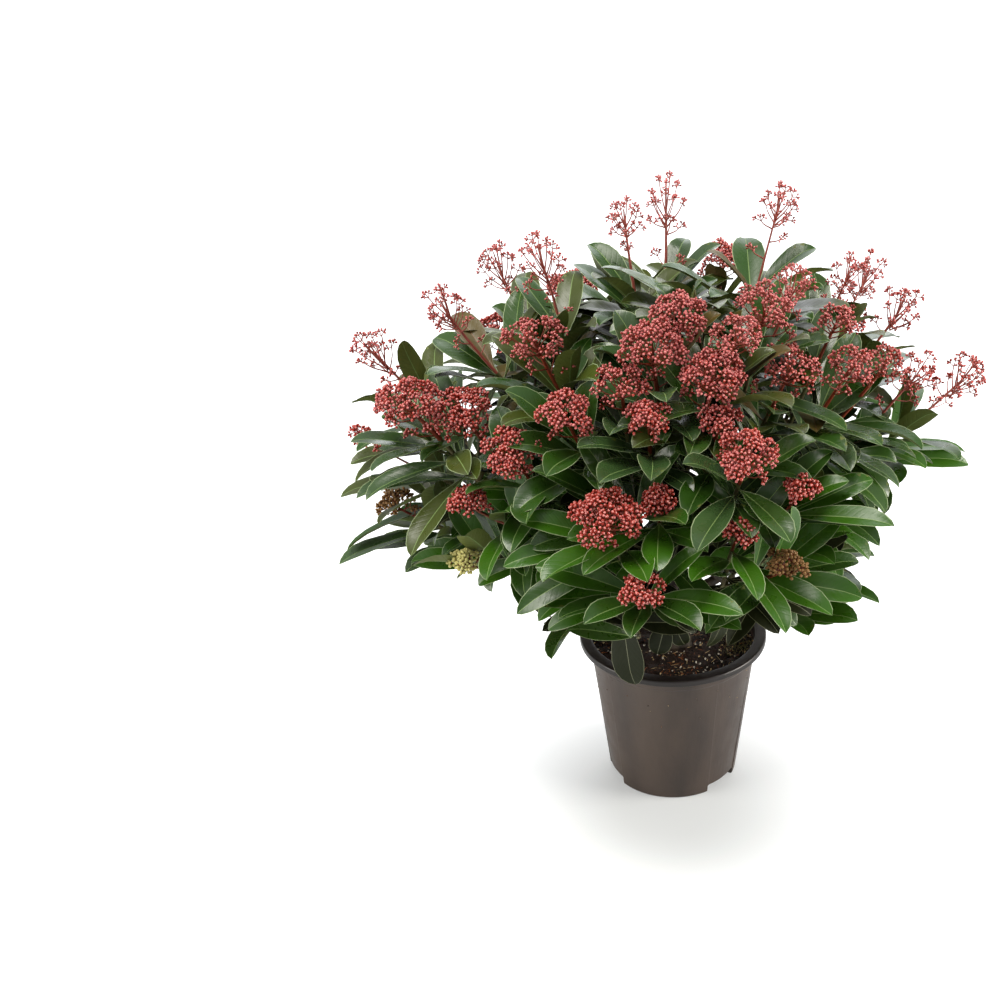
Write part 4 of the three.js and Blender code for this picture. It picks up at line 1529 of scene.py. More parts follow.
@dataclass
class Strands:
    """Thin limbs as runs of points with a half thickness at each, and buds as loose points."""

    points: list[Vector] = field(default_factory=list)
    widths: list[float] = field(default_factory=list)
    edges: list[tuple[int, int]] = field(default_factory=list)
    buds: list[tuple[Vector, Vector, float, int]] = field(default_factory=list)

    def limb(self, points: Sequence[Vector], first: float, last: float) -> None:
        """Add a limb that tapers along its points.

        Args:
            points: The points.
            first, last: Its half thickness at its ends.
        """
        start, steps = len(self.points), len(points) - 1
        self.points += points
        self.widths += [mix(first, last, i / steps) for i in range(steps + 1)]
        self.edges += [(start + i, start + i + 1) for i in range(steps)]

    def mesh(self, name: str) -> Mesh:
        """Return the strands and buds as a mesh of edges and loose points.

        Args:
            name: The mesh's name.

        Returns:
            The mesh, with the attributes that the recipes read.
        """
        mesh = bpy.data.meshes.new(name)
        mesh.from_pydata([p * MM for p in self.points + [bud[0] for bud in self.buds]], self.edges, [])
        bare, loose = [0.0] * len(self.points), [0.0] * len(self.buds)
        for label, kind, values in (
            ("width", "FLOAT", np.array(self.widths + loose) * MM),
            ("size", "FLOAT", np.array(bare + [bud[2] for bud in self.buds]) * MM),
            ("stand", "FLOAT_VECTOR", np.array([UP] * len(bare) + [bud[1] for bud in self.buds])),
            ("tint", "INT", np.array(bare + [bud[3] for bud in self.buds], np.int32)),
        ):
            data = mesh.attributes.new(label, kind, "POINT").data
            data.foreach_set("vector" if kind == "FLOAT_VECTOR" else "value", values.ravel())
        return mesh


class Head:
    """One head of buds: its branches spread from the shoot's tip and each carries a cluster."""

    tints = BlossomRecipe.BUD_TONES
    fullness = 1.6  # how the number of a head's clusters grows with its size
    rosy_from, rosy_to = 400.0, 560.0  # the heights between which heads turn from red to pink
    rosy_bud = 0.8  # and how much smaller the buds of the highest are
    drop = 0.12  # how far the cap's foot lies below the head's middle, in half heights
    spread = 0.08  # how much wider a clump is for each fork past the third
    small = 0.6  # the size below which a head has fewer branches
    cap_angle, cap_width = 84, 0.74

    def __init__(self, shoot: Shoot, strands: Strands, seed: int) -> None:
        """Take the shoot that bears the head.

        Args:
            shoot: The shoot.
            strands: Where its stalks and buds go.
            seed: The seed of its own random stream.
        """
        self.shoot, self.strands, self.stream = shoot, strands, Stream(seed)
        self.shape, self.axis, self.size = shoot.style.value, shoot.head_axis, shoot.tip.size
        self.radius = self.shape.radius * self.size
        self.half = self.shape.height * self.size / 2 * self.stream.between(0.9, 1.12)
        self.base = shoot.curve.end - self.axis * self.half * self.drop
        self.rosy = held((self.base.z - self.rosy_from) / (self.rosy_to - self.rosy_from))
        self.bud = self.shape.bud * mix(1.0, self.rosy_bud, self.rosy)

    def grow(self) -> None:
        """Add the head's stalk, its cap of clusters and the branches that stand apart below it."""
        spike = self.shoot.style is HeadStyle.SPIKE
        girth = (1.7 if spike else 2.3) * mix(0.6, 1.0, self.size)
        bare = self.shoot.share_from_tip(self.shoot.bare)
        self.strands.limb(self.shoot.curve.run(bare, 1, 8), girth, girth * 0.66)
        top = self.base + self.axis * self.half * self.shape.cap * 0.7
        self.strands.limb([self.shoot.curve.end, self.shoot.curve.end.lerp(top, 0.5), top], girth * 0.6, 0.6)
        self.cap(0.7 if spike else 0.8)
        self.tier(4, 0.45, 0.8)
        self.tier(2 if spike or self.size < self.small else 4, 1.0, 1.7)

    def tint(self, deep: float) -> int:
        """Draw a bud's tint.

        Args:
            deep: How likely it is to be a deep red one.

        Returns:
            The tint's place among the tones of buds.
        """
        if self.shoot.tip.bloom:
            return self.tints.index(self.shoot.tip.bloom)
        drawn, rosy = self.stream.draw(), self.stream.draw() < self.rosy
        tone = BudTone.DEEP if drawn < deep else BudTone.ROSE if drawn > 0.78 else BudTone.RED
        return self.tints.index(BudTone.PINK if rosy and tone is not BudTone.DEEP else tone)

    def cluster(self, start: Vector, way: Vector, forks: int, scale: float, deep: float) -> None:
        """Add the forked end of a branch, a small dome of forks with a few buds each on short stalks.

        Args:
            start: The end of the branch.
            way: The direction it ends in.
            forks: The number of forks.
            scale: The size of the cluster.
            deep: The share of deep red buds.
        """
        spin = self.stream.between(0, 360)
        shape, draw = self.shape, self.stream.between
        for f in range(forks):
            side = leaning(way, spin + 360 * f / (forks - 1), draw(0, 18) if f == 0 else draw(40, 68))
            tip = start + side * draw(3.6, 5.6) * scale * (1 + (forks - 3) * self.spread)
            self.strands.limb([start, tip], 0.5, 0.42)
            for b in range(shape.buds):
                stand = leaning(side, draw(0, 360) if b == 0 else 360 * b / (shape.buds - 1) + spin,
                                draw(0, 14) if b == 0 else draw(44, 66))
                end = tip + stand * shape.reach * draw(0.75, 1.15)
                self.strands.limb([tip, end], 0.44, 0.38)
                bud = self.bud * draw(0.85, 1.1)
                self.strands.buds.append((end + stand * bud * 0.7, stand, bud, self.tint(deep)))

    def branch(self, start: Vector, end: Vector, forks: int, width: float, deep: float) -> None:
        """Add a branch that rises as it leaves the stalk and ends in a cluster.

        Args:
            start, end: Its ends.
            forks: The number of the cluster's forks.
            width: Its half thickness.
            deep: The share of deep red buds.
        """
        ahead = (end - start).normalized()
        curve = Sweep.between(start, ahead, end, ahead.lerp(self.axis, 0.4).normalized(), 0.38)
        self.strands.limb(curve.run(0, 1, 4), width, width * 0.6)
        self.cluster(end, curve.tangent(1), forks, mix(0.8, 1.0, self.size), deep)

    def cap(self, fill: float) -> None:
        """Add the rounded cap: clumps all over it, the outer ones on longer branches.

        Args:
            fill: How evenly the clumps keep to the cap's surface, up to 1.
        """
        count = max(4, round(self.shape.clumps * self.size ** self.fullness))
        high, wide = self.half * self.shape.cap, self.radius * self.cap_width
        for i in range(count):
            polar = math.radians(self.cap_angle) * math.sqrt((i + 0.3) / count)
            out = leaning(self.axis, GOLDEN_ANGLE * i + self.shoot.phase + self.stream.slip(34), 90)
            share = self.stream.between(fill, 1.06)
            end = self.base + (out * wide * math.sin(polar) + self.axis * high * math.cos(polar)) * share
            start = self.base + self.axis * high * (0.6 * math.cos(polar) - 0.62)
            self.branch(start, end, self.shape.forks, 0.8, 0.14)

    def tier(self, count: int, near: float, far: float) -> None:
        """Add side branches that stand apart below the cap.

        Args:
            count: Their number.
            near, far: How far below the head's middle they leave the stalk, in half heights.
        """
        spin = self.stream.between(0, 360)
        for i in range(count):
            back = min(self.half * self.stream.between(near, far), self.shoot.bare - 5)
            start = self.shoot.back_from_tip(back)
            turn = spin + 360 * i / count + self.stream.slip(40)
            way = leaning(self.axis, turn, self.stream.between(50, 66))
            end = start + way * self.radius * self.stream.between(0.5, 0.86)
            # Branches below the cap get a larger share of deep red buds than the cap: painted shade under the
            # cap.
            self.branch(start, end, 2 if self.size < self.small else 3, 0.75, 0.3)


# ---- pot and soil


@dataclass
class Pot:
    """The moulded pot: a turned-out lip, a collar under it, a plain tapering wall and a notched foot."""

    rim_radius: float
    height: float
    soil_level: float
    foot_radius: float = 66.0
    foot_edge: float = 1.4
    wall: float = 1.8
    lip_height: float = 6.5
    lip_depth: float = 9.0
    collar_height: float = 13.0
    collar_depth: float = 1.0
    collar_slope: float = 2.0
    floor: float = 9.5
    rim_dark: float = 10.5  # how far below the rim the painted shade on the wall begins
    notch_count: int = 3
    notch_azimuth: float = -39.0
    notch_width: float = 42.0
    notch_height: float = 7.5
    notch_corner: float = 3.5
    notch_inner_radius: float = 50.0
    columns: int = 144
    round_steps: int = 4
    foot_corners: int = 8  # how many points of the section may rise with a notch
    sharp: float = 38.0

    @classmethod
    def from_frame(cls) -> Pot:
        """Return the pot with its driving sizes, in millimetres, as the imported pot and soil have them."""
        low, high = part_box("pot")
        rim = max(high.x, high.y, -low.x, -low.y) / MM
        return cls(rim_radius=rim, height=high.z / MM, soil_level=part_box("soil")[1].z / MM)

    def outer_radius(self, height: float) -> float:
        """Return the wall's outer radius at a height."""
        top = self.height - self.lip_height
        return mix(self.foot_radius, self.rim_radius - self.lip_depth - self.collar_depth, height / top)

    def inner_radius(self, height: float) -> float:
        """Return the wall's inner radius at a height."""
        return self.outer_radius(height) - self.wall

    def profile(self) -> list[tuple[float, float, float]]:
        """Return the section's corners.

        Returns:
            A radius, a height and a rounding for each, from the underside to the floor.
        """
        under = self.height - self.lip_height
        collar = under - self.collar_height
        neck, lip = self.outer_radius(collar), self.rim_radius - self.wall
        return [
            (self.foot_radius - self.foot_edge, 0, 0.6),
            (self.foot_radius, self.foot_edge, 0.6),
            (neck, collar, 0.8),
            (neck + self.collar_depth, collar + self.collar_slope, 0.8),
            (self.outer_radius(under) + self.collar_depth, self.height - self.wall, 0.9),
            (lip, self.height - self.wall, 0.9),
            (lip, under, 0.7),
            (self.rim_radius, under, 0.7),
            (self.rim_radius, self.height, 2.4),
            (self.inner_radius(under), self.height, 2.0),
            (self.inner_radius(under), under, 0.4),
            (self.inner_radius(self.floor), self.floor, 1.5),
        ]

    def rounded(self) -> list[tuple[float, float]]:
        """Return the section with its corners rounded.

        Returns:
            A radius and a height for each point.
        """
        corners = self.profile()
        points = [corners[0][:2]]
        for before, here, after in zip(corners, corners[1:], corners[2:]):
            corner = Vector(here[:2])
            to_before, to_after = Vector(before[:2]) - corner, Vector(after[:2]) - corner
            cut = min(here[2], to_before.length * 0.45, to_after.length * 0.45)
            first, last = corner + to_before.normalized() * cut, corner + to_after.normalized() * cut
            for i in range(self.round_steps + 1):
                t = i / self.round_steps
                at = first * (1 - t) ** 2 + corner * (2 * t * (1 - t)) + last * t * t
                points.append((at.x, at.y))
        return points + [corners[-1][:2]]

    def notch(self, azimuth: float) -> float:
        """Return how high the foot is cut away.

        Args:
            azimuth: Where, in degrees.

        Returns:
            The height.
        """
        step = 360 / self.notch_count
        away = (azimuth - self.notch_azimuth + step / 2) % step - step / 2
        out = abs(self.foot_radius * math.sin(math.radians(away)))
        if out >= self.notch_width / 2:
            return 0.0
        past = max(0.0, out - self.notch_width / 2 + self.notch_corner)
        return self.notch_height - self.notch_corner + math.sqrt(self.notch_corner ** 2 - past ** 2)

    def azimuths(self) -> list[float]:
        """Return where the section stands.

        Returns:
            The azimuths: evenly round, and close together at the notches' rounded sides.
        """
        found = [360 * i / self.columns for i in range(self.columns)]
        half = self.notch_width / 2
        outs = [half + 0.02, half - 0.001] + [
            half - self.notch_corner * (1 - math.cos(math.radians(a))) for a in (30, 55, 90)]
        for i, out, side in itertools.product(range(self.notch_count), outs, (-1, 1)):
            lean = math.degrees(math.asin(out / self.foot_radius))
            found.append((self.notch_azimuth + 360 / self.notch_count * i + side * lean) % 360)
        return sorted(found)

    def build(self) -> None:
        """Add the pot."""
        work = bmesh.new()
        section = self.rounded()
        columns = []
        for azimuth in self.azimuths():
            turn, raised = math.radians(azimuth), self.notch(azimuth)
            rings = [(self.notch_inner_radius, 0.0), (self.notch_inner_radius, raised)]
            rings += [(r, z + raised if z < 2 and i < self.foot_corners else z)
                      for i, (r, z) in enumerate(section)]
            columns.append([
                work.verts.new((r * math.cos(turn) * MM, r * math.sin(turn) * MM, z * MM)) for r, z in rings])
        bottom, inside = (work.verts.new((0, 0, height * MM)) for height in (0, self.floor))
        for here, there in zip(columns, columns[1:] + columns[:1]):
            work.faces.new((bottom, there[0], here[0]))
            work.faces.new((inside, here[-1], there[-1]))
            for corners in zip(here, there, there[1:], here[1:]):
                work.faces.new(corners)
        bmesh.ops.remove_doubles(work, verts=work.verts, dist=1e-6)
        bmesh.ops.dissolve_degenerate(work, edges=work.edges, dist=1e-6)
        bmesh.ops.recalc_face_normals(work, faces=work.faces)
        # The plastic darkens towards the rim as painted shade from the crown above.
        plastic = PotFinish(
            "pot_plastic", "#53463e", 0.3, 0.42, 260.0, 0.00012, (1, 1, 0.12), "#3e3531", 14.0, (1, 1, 0.35),
            rim_height=(self.height - self.rim_dark) * MM)
        mesh = worked("pot_shell", work, plastic.material())
        mesh.set_sharp_from_angle(angle=math.radians(self.sharp))
        handed_over(placed("pot_shell", mesh), ["pot"])


class SoilFinish(Enum):
    """What the potting soil is made of."""

    PEAT = CloudedFinish("peat_dark", "#2a150c", rough=0.95, grain=380.0, depth=0.0009, other="#120906",
                         scale=260.0)
    CRUMB = CloudedFinish("peat_crumb", "#351b10", other="#1a0d08")
    BARK = CloudedFinish("chip_bark", "#5a2f18", other="#33190d")
    FIBRE = CloudedFinish("fibre_orange", "#a3602e", other="#6d3b1c")
    STRAW = CloudedFinish("fibre_straw", "#cdb386", other="#947a54")
    GRIT = CloudedFinish("grit_white", "#ece6da", other="#c9bfae", scale=700.0)
    MOSS = CloudedFinish("moss_green", "#6b6a3c", other="#3f4224", scale=700.0)
    MOSS_DRY = CloudedFinish("moss_dry", "#8d8256", other="#5c5636", scale=700.0)


@dataclass(frozen=True)
class Strewing:
    """A kind of grain strewn on the soil, with its number to a square metre and its sizes in millimetres."""

    name: str
    density: float
    sizes: Triple
    main: SoilFinish
    other: SoilFinish
    share: float
    smallest: float
    tilt: float
    centre: tuple[float, float] = (0.0, 0.0)
    radius: float = 10000.0
    lift: float = 0.0


@dataclass
class SoilBed:
    """The peat in the pot, lumpy and strewn with crumbs, chips, grit, fibres and a patch of moss."""

    pot: Pot
    recipe: ScatterRecipe = field(default_factory=ScatterRecipe)
    rings: int = 26
    columns: int = 120
    lump: float = 2.4
    lump_scale: float = 0.09
    level_from: float = 14.0  # how far from the stem the lumps begin
    level_width: float = 20.0  # and how far from there they are at their full depth
    wall_gap: float = 0.25
    floor_gap: float = 3.0
    waist: float = 0.6  # where the side has a ring between the top and the underside
    first_seed: int = 11
    strewn: tuple[Strewing, ...] = (
        Strewing("soil_crumbs", 80000, (4.2, 3.2, 2.6), SoilFinish.CRUMB, SoilFinish.PEAT, 0.5, 0.3, 1.2),
        Strewing("soil_chips", 14000, (6.5, 3.2, 1.6), SoilFinish.BARK, SoilFinish.CRUMB, 0.4, 0.35, 0.5),
        Strewing("soil_grit", 12000, (3.4, 2.4, 2.0), SoilFinish.GRIT, SoilFinish.STRAW, 0.4, 0.3, 1.2,
                 lift=1.4),
        Strewing("soil_fibres", 9000, (10.0, 0.8, 0.7), SoilFinish.FIBRE, SoilFinish.STRAW, 0.4, 0.3, 0.35,
                 lift=1.5),
        Strewing("soil_litter", 60000, (4.6, 1.1, 0.9), SoilFinish.FIBRE, SoilFinish.STRAW, 0.35, 0.3, 0.5,
                 (12, -60), 34, 1.2),
        Strewing("soil_moss", 420000, (2.8, 1.1, 1.0), SoilFinish.MOSS, SoilFinish.MOSS_DRY, 0.45, 0.4, 1.4,
                 (66, -8), 25, 1.3),
    )

    def top(self, x: float, y: float, radius: float) -> float:
        """Return the height of the lumpy top at a place and its distance from the middle."""
        lumps = noise.fractal(Vector((x * self.lump_scale, y * self.lump_scale, 0)), 0.8, 2.1, 5)
        return self.pot.soil_level - held((radius - self.level_from) / self.level_width) * self.lump * (
            0.9 - 0.8 * lumps)

    def bed(self) -> Mesh:
        """Return the bed's mesh.

        Returns:
            A lumpy top, a side against the wall and a flat underside.
        """
        pot, work = self.pot, bmesh.new()
        base = pot.floor + self.floor_gap
        edge = pot.inner_radius(pot.soil_level) - self.wall_gap
        circles = [(edge * r / self.rings, None) for r in range(1, self.rings + 1)]
        circles += [(pot.inner_radius(h) - self.wall_gap, h) for h in (pot.soil_level * self.waist, base)]
        turns = [math.tau * c / self.columns for c in range(self.columns)]
        middle = work.verts.new((0, 0, pot.soil_level * MM))
        rings = []
        for radius, height in circles:
            rings.append([])
            for x, y in ((radius * math.cos(turn), radius * math.sin(turn)) for turn in turns):
                z = self.top(x, y, radius) if height is None else height
                rings[-1].append(work.verts.new((x * MM, y * MM, z * MM)))
        under = work.verts.new((0, 0, base * MM))
        for c in range(self.columns):
            d = (c + 1) % self.columns
            work.faces.new((middle, rings[0][c], rings[0][d]))
            work.faces.new((under, rings[-1][d], rings[-1][c]))
            for inner, outer in zip(rings, rings[1:]):
                work.faces.new((inner[c], outer[c], outer[d], inner[d]))
        return worked("soil_bed", work)

    def build(self) -> None:
        """Add the bed and what is strewn on it."""
        bed = self.bed()
        for seed, kind in enumerate(self.strewn, self.first_seed):
            length, width, height = (size * MM for size in kind.sizes)
            handed_over(self.recipe.run(kind.name, bed.copy(), {
                "Density": kind.density, "Length": length, "Width": width, "Height": height,
                "Smallest": kind.smallest, "Tilt": kind.tilt, "Seed": seed, "Lift": kind.lift * MM,
                "Patch Centre": (kind.centre[0] * MM, kind.centre[1] * MM, self.pot.soil_level * MM),
                "Patch Radius": kind.radius * MM, "Other Share": kind.share,
                "Main": stock(kind.main), "Other": stock(kind.other),
            }))
        bed.materials.append(stock(SoilFinish.PEAT))
        handed_over(placed("soil_bed", bed), ["soil"])


# ---- wood


@dataclass
class Woodwork:
    """The short stem, the limbs it forks into and their boughs, with the relief of their bark."""

    plan: Plan
    foot: Vector
    waist_radius: float = 13.5
    head_radius: float = 17.3
    stem_rings: int = 26
    stem_sides: int = 56
    stem_sink: float = 1.5
    dome: tuple[tuple[float, float], ...] = ((1.6, 0.93), (2.8, 0.75), (3.6, 0.45))  # rises and widths
    flare: float = 7.0
    flare_lobes: int = 5
    lobe_depth: float = 0.25
    furrow: float = 0.055
    scar_spacing: float = 9.0
    scar_height: float = 0.05
    limb_radii: tuple[float, float] = (6.4, 5.2)
    limb_dome: tuple[tuple[float, float], ...] = ((1.6, 4.6), (2.6, 2.8))
    bough_radii: tuple[float, float] = (2.7, 2.05)

    def raised(self, at: Vector, turn: float, along: float) -> float:
        """Return how far the bark stands out, as a share of the limb's radius.

        Args:
            at: A point of its surface.
            turn: The turn about the limb.
            along: The distance along it.

        Returns:
            The share.
        """
        furrows = noise.fractal(Vector((at.x * 0.35, at.y * 0.35, at.z * 0.09)), 0.9, 2.2, 4)
        ring = abs((along / self.scar_spacing + 0.35 * math.sin(turn)) % 1 - 0.5)
        return 1 + self.furrow * furrows + self.scar_height * max(0.0, 1 - ring * 9)

    def limb(self, work: bmesh.types.BMesh, line: Sequence[Triple], sides: int) -> None:
        """Add one limb.

        Args:
            work: The mesh it goes into.
            line: Its middle line: points, each with the limb's radius and its share of the flare.
            sides: The number of its sides.
        """
        rings: list[list[bmesh.types.BMVert]] = []
        along, side = 0.0, None
        for i, (point, radius, flared) in enumerate(line):
            before, after = line[max(i - 1, 0)][0], line[min(i + 1, len(line) - 1)][0]
            ahead = (after - before).normalized()
            side = across(ahead)[0] if side is None else squared(side, ahead)
            other = ahead.cross(side)
            along += (point - before).length
            rings.append([])
            for turn in (math.tau * c / sides for c in range(sides)):
                lobes = 1 + self.lobe_depth * math.cos(self.flare_lobes * turn)
                wide = radius + self.flare * flared * lobes
                out = (side * math.cos(turn) + other * math.sin(turn)) * wide
                rings[-1].append(work.verts.new((point + out * self.raised(point + out, turn, along)) * MM))
        for here, there in zip(rings, rings[1:]):
            for corners in zip(here, here[1:] + here[:1], there[1:] + there[:1], there):
                work.faces.new(corners)
        work.faces.new(list(reversed(rings[0])))
        work.faces.new(rings[-1])

    def stem(self) -> None:
        """Add the short stem, flared at its foot and domed where the limbs leave it."""
        head = self.plan.stem_head
        line = []
        for i in range(self.stem_rings + 1):
            along = i / self.stem_rings
            radius = mix(self.waist_radius, self.head_radius, along ** 2)
            point = self.foot.lerp(head, along) - UP * self.stem_sink * (i == 0)
            line.append((point, radius, (1 - along) ** 3))
        line += [(head + UP * rise, self.head_radius * share, 0.0) for rise, share in self.dome]
        work = bmesh.new()
        self.limb(work, line, self.stem_sides)
        handed_over(placed("bark_stem", worked("bark_stem", work, stock(StemTone.BARK))), ["trunk"])

    def limbs(self) -> None:
        """Add each limb with its boughs as one piece."""
        for limb in self.plan.limbs:
            work = bmesh.new()
            points = [limb.curve.start - UP * 3] + limb.curve.run(0, 1, 22)
            line = [(point, mix(*self.limb_radii, min(1.0, i / 8)), 0.0) for i, point in enumerate(points)]
            line += [(points[-1] + limb.axis * rise, radius, 0.0) for rise, radius in self.limb_dome]
            self.limb(work, line, 18)
            name = limb.row.name
            boughs = [bough for bough in self.plan.boughs if bough.limb == name]
            for bough in boughs:
                points = [bough.curve.start - limb.axis * 6, *bough.curve.run(0, 1, 30),
                          bough.curve.end + bough.axis * 1.5]
                self.limb(work, [(point, mix(*self.bough_radii, min(1.0, i / 7)), 0.0)
                                 for i, point in enumerate(points)], 10)
            handed_over(placed(f"bark_{name}", worked(f"bark_{name}", work, stock(StemTone.BARK))),
                        [f"limb_{name}", *(f"bough_{bough.row.name}" for bough in boughs)])


# ---- crown


@dataclass
class Crown:
    """The masses of foliage: their twigs, leaves and heads of buds."""

    plan: Plan
    pot: Pot
    sweep: SweepRecipe = field(default_factory=SweepRecipe)
    budding: BlossomRecipe = field(default_factory=BlossomRecipe)
    shoot_sides: int = 7
    stem_radii: tuple[float, float] = (2.05, 3.2)
    leaf_widths: tuple[float, float] = (25.0, 32.0)
    widest_share: float = 0.36
    folds: tuple[float, float] = (0.3, 0.6)
    sway: float = 0.12
    roll: float = 0.6
    skirt_height: float = 250.0  # below it the shoots' leaves are old and dull
    fresh_height: float = 390.0  # and below this one they are fresh, in front of a depth and right of a side
    fresh_back: float = 20.0
    fresh_left: float = -200.0
    high: float = 455.0
    outer: float = 190.0
    bronze_share: float = 0.1
    old_age: float = 0.85
    old_share: float = 0.3
    mid_tones = (("GREEN", "DEEP"), ("DEEP", "SLATE"), ("SLATE", "GREEN"))
    top_tones = (("OLIVE", "DEEP"), ("SLATE", "OLIVE"), ("OLIVE", "GREEN"))
    main_share: float = 0.66

    def leaves(self) -> list[Leaf]:
        """Return every leaf of the plant.

        Returns:
            The leaves that hang and those that find room, coloured by their sprays.
        """
        finder = RoomFinder(self.plan, self.pot)
        found = self.plan.hanging_leaves()
        for leaf in found:
            finder.keep(leaf, finder.room(finder.outline(leaf)))
        rule, shoots = LeafRule, self.plan.shoots
        plans = [(shoot, rule.plan(shoot)) for shoot in shoots]
        ranks = [rank for first in range(rule.every) for rank in range(first, rule.count, rule.every)]
        rounds = {
            "on the heads' shoots": [(shoot, leaves[rank]) for rank in ranks for shoot, leaves in plans],
            "with the side shoots": [(shoot, leaf) for shoot in self.plan.side for leaf in rule.plan(shoot)],
            "with the inner ones": [(shoot, leaf) for shoot in shoots for leaf in rule.plan_inner(shoot)],
        }
        for label, wanted in rounds.items():
            for shoot, leaf in wanted:
                settled = finder.settle(leaf)
                if settled:
                    found.append(self.coloured(settled, shoot, Stream(len(found) * 31 + 4001)))
            LOG.info("%d leaves %s", len(found), label)
        return found

    def coloured(self, leaf: Leaf, shoot: Shoot, stream: Stream) -> Leaf:
        """Give a leaf its own colour and small differences.

        Args:
            leaf: The leaf.
            shoot: Its shoot.
            stream: Where the differences are drawn from.

        Returns:
            The same leaf.
        """
        leaf.tone = self.tone(leaf, shoot, stream)
        width = stream.between(*self.leaf_widths) / leaf.length / max(1.0, shoot.leaf_scale)
        leaf.width = min(self.widest_share, width)
        leaf.sway = stream.slip(self.sway)
        leaf.roll = stream.slip(self.roll)
        leaf.phase = stream.between(0, math.tau)
        leaf.fold = stream.between(*self.folds)
        return leaf

    def tone(self, leaf: Leaf, shoot: Shoot, stream: Stream) -> LeafTone:
        """Deal a leaf the colour of its spray or the one that goes with it, and old leaves the dull ones.

        Args:
            leaf: The leaf.
            shoot: Its shoot.
            stream: Where the deal is drawn from.

        Returns:
            The colour.
        """
        high, end = shoot.back_from_tip(shoot.bare).z, shoot.curve.end
        if leaf.age > 1 or (high < self.skirt_height and leaf.mass != "skirt_right"):
            names = ("OLD", "DEEP")
        elif high < self.fresh_height and end.y < self.fresh_back and end.x > self.fresh_left:
            names = ("FRESH", "GREEN")
        else:
            pairs = self.top_tones if high > self.high or abs(end.x) > self.outer else self.mid_tones
            names = pairs[int(shoot.phase) % len(pairs)]
            if high > self.high and stream.draw() < self.bronze_share:
                return LeafTone.BRONZE
        if leaf.age > self.old_age and stream.draw() < self.old_share:
            return LeafTone.OLD
        return LeafTone[names[stream.draw() >= self.main_share]]

    def twigs(self, name: str, bough: Branch, shoots: Sequence[Shoot]) -> Piece:
        """Return a mass's stem and leafy shoots as a piece.

        Args:
            name: The piece's name.
            bough: The bough that bears the mass.
            shoots: Its shoots.

        Returns:
            The piece.
        """
        strands = Strands()
        stem = [bough.curve.end + bough.axis * d for d in (CLEARANCE, 5, 10, Plan.stem_length)]
        strands.limb(stem, *self.stem_radii)
        for shoot in shoots:
            last = shoot.share_from_tip(shoot.bare)
            strands.limb(shoot.curve.run(0, last, 12), *((1.5, 1.1) if shoot.leaf_scale < 1 else (2.3, 1.9)))
            if not shoot.headed:
                tip, ahead = shoot.curve.point(last), shoot.curve.tangent(last)
                strands.limb([tip, tip + ahead * 4, tip + ahead * 8], 1.7, 0.5)
        return self.sweep.run(name, strands.mesh(name), {
            "Sides": self.shoot_sides, "Material": stock(StemTone.SHOOT),
        })

    def blossom(self, name: str, shoots: Sequence[Shoot]) -> Piece:
        """Return a mass's heads of buds as a piece.

        Args:
            name: The piece's name.
            shoots: The shoots that bear them.

        Returns:
            The piece.
        """
        strands = Strands()
        for shoot in shoots:
            Head(shoot, strands, 900 + self.plan.shoots.index(shoot) * 7).grow()
        spike = shoots[0].style is HeadStyle.SPIKE
        return self.budding.run(name, strands.mesh(name), {
            **{f"Bud {tone.name}": stock(tone) for tone in BlossomRecipe.BUD_TONES},
            "Tip": stock(BudTone.TIP), "Bud Length": 1.35 if spike else 1.1,
            "Stalk": stock(StemTone.THIN_STALK if spike else StemTone.STALK),
        })

    def build(self) -> None:
        """Add every mass."""
        leaves, cutter = self.leaves(), LeafCutter()
        for bough in self.plan.boughs:
            mass = bough.row.name
            node = [f"foliage_{mass}"]
            shoots = [s for s in self.plan.shoots + self.plan.side if s.mass == mass]
            handed_over(self.twigs(f"twigs_{mass}", bough, shoots), node)
            name = f"leaves_{mass}"
            own = cutter.mesh(name, [leaf for leaf in leaves if leaf.mass == mass])
            handed_over(placed(name, own), node)
            headed = [shoot for shoot in shoots if shoot.headed]
            if headed:
                handed_over(self.blossom(f"buds_{mass}", headed), node)


# ---- studio


@dataclass(frozen=True)
class Lamp:
    """A square soft lamp that looks at the plant."""

    name: str
    place: Triple
    size: float
    power: float
    color: str

    def build(self, aim: Vector) -> None:
        """Add the lamp.

        Args:
            aim: The point that it is turned towards.
        """
        data = bpy.data.lights.new(self.name, "AREA")
        data.size, data.energy, data.color = self.size, self.power, paint(self.color)[:3]
        lamp = bpy.data.objects.new(self.name, data)
        lamp.location = self.place
        lamp.rotation_euler = (Vector(self.place) - aim).to_track_quat("Z", "Y").to_euler()
        bpy.context.scene.collection.objects.link(lamp)


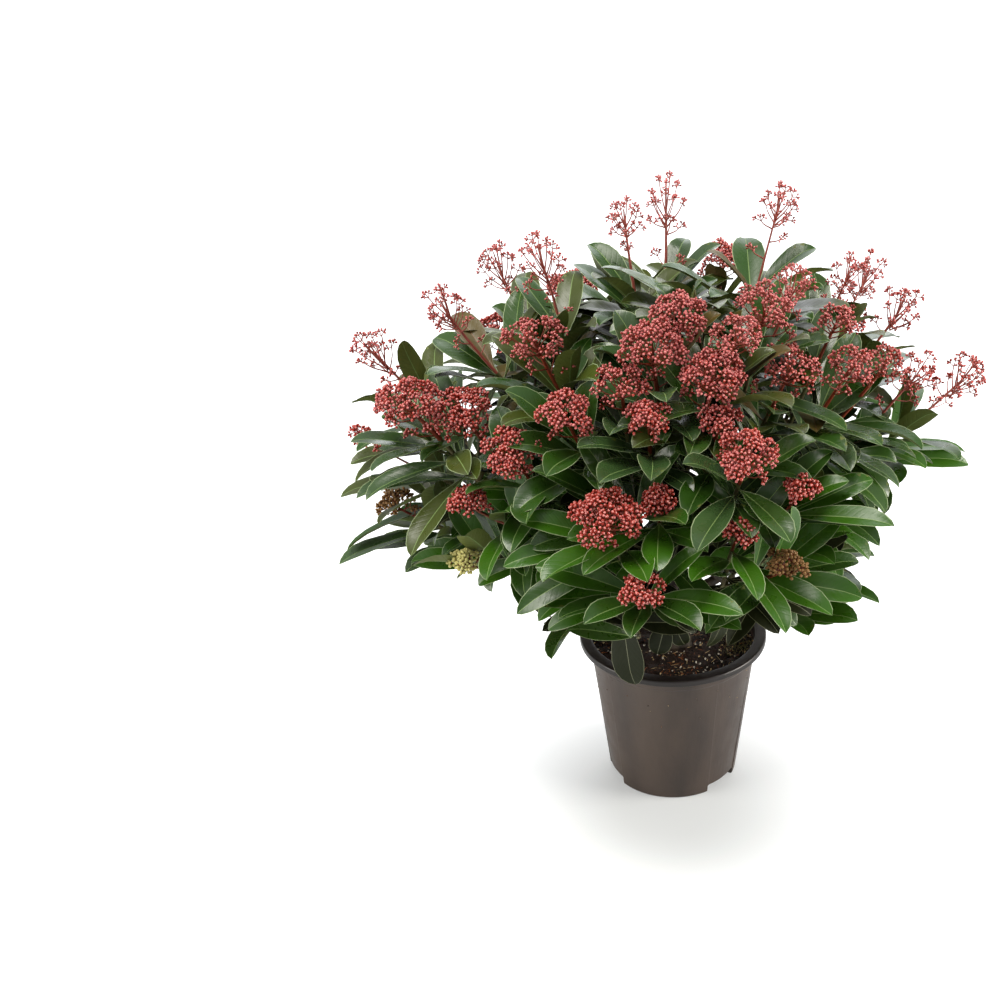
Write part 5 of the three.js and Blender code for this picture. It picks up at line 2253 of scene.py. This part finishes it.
@dataclass
class Studio:
    """A pale floor with a painted shadow round the pot, soft light and the camera."""

    camera_place: Triple = (0.0, -1.5, 1.089)
    camera_pitch: float = 62.6
    lens: float = 62.07
    shift_x: float = -0.173
    floor_radius: float = 14.0
    floor_color: str = "#d4d8da"
    shade_centre: Triple = (0.0, -0.07, 0.0)
    floor_glow: tuple[float, float] = (0.24, 0.8)  # how strongly the floor glows for the camera only, at the shade centre and further out: the weaker glow round the pot is a painted shadow
    floor_fade: tuple[float, float] = (0.05, 0.25)  # and the distances over which the painted shadow fades into the full glow
    sky: float = 0.43
    aim: Triple = (0.0, 0.0, 0.38)
    lamps: tuple[Lamp, ...] = (
        Lamp("over", (-0.5, -0.4, 2.7), 1.4, 58, "#fffaf2"),
        Lamp("left", (-2.0, -0.7, 0.8), 1.2, 28, "#fffaf2"),
        Lamp("right", (2.1, -0.3, 0.7), 1.2, 58, "#fff9f0"),
        Lamp("behind", (0.2, 2.2, 1.6), 2.0, 26, "#f8faff"),
    )

    def air(self) -> None:
        """Light the plant with a plain white sky and the lamps."""
        world = bpy.data.worlds.new("studio_air")
        world.use_nodes = True
        Bench(world.node_tree).feed(world.node_tree.nodes["Background"], {
            "Color": (1, 1, 1, 1), "Strength": self.sky,
        })
        bpy.context.scene.world = world
        for lamp in self.lamps:
            lamp.build(Vector(self.aim))

    def floor(self) -> None:
        """Add the floor, which glows for camera rays only, and less round the pot as a painted shadow."""
        surface = Surface("floor_pale_painted_shadow")
        away = surface.distance(surface.body(), self.shade_centre)
        # Painted shadow: the glow is lowest round the pot's foot and rises further out.
        glow = surface.ramp(away, *self.floor_fade, *self.floor_glow, soft=True)
        seen = surface.get("ShaderNodeLightPath", output="Is Camera Ray")
        surface.dress({
            "Base Color": paint(self.floor_color), "Roughness": 0.9, "Specular IOR Level": 0.1,
            "Emission Color": (1, 1, 1, 1), "Emission Strength": surface.calc("MULTIPLY", glow, seen),
        })
        work = bmesh.new()
        bmesh.ops.create_circle(work, cap_ends=True, segments=96, radius=self.floor_radius)
        placed("floor", worked("floor", work, surface.material))

    def camera(self) -> None:
        """Add the camera."""
        camera = bpy.data.objects.new("camera", bpy.data.cameras.new("camera"))
        camera.location = self.camera_place
        camera.rotation_euler = Euler((math.radians(self.camera_pitch), 0, 0))
        camera.data.lens, camera.data.shift_x = self.lens, self.shift_x
        bpy.context.scene.collection.objects.link(camera)
        bpy.context.scene.camera = camera

    def build(self) -> None:
        """Set the view transform and add the light, the floor and the camera."""
        bpy.context.scene.view_settings.view_transform = "Standard"
        self.air()
        self.floor()
        self.camera()


def main() -> None:
    """Build the plant in its pot, piece by piece."""
    logging.basicConfig(level=logging.INFO, format="%(name)s: %(message)s")
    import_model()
    pot = Pot.from_frame()
    low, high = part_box("trunk")
    plan = Plan(Vector((0, 3, high.z / MM)))
    Studio().build()
    pot.build()
    SoilBed(pot).build()
    wood = Woodwork(plan, Vector((0, 0, low.z / MM)))
    wood.stem()
    wood.limbs()
    Crown(plan, pot).build()
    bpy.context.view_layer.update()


if __name__ == "__main__":
    main()
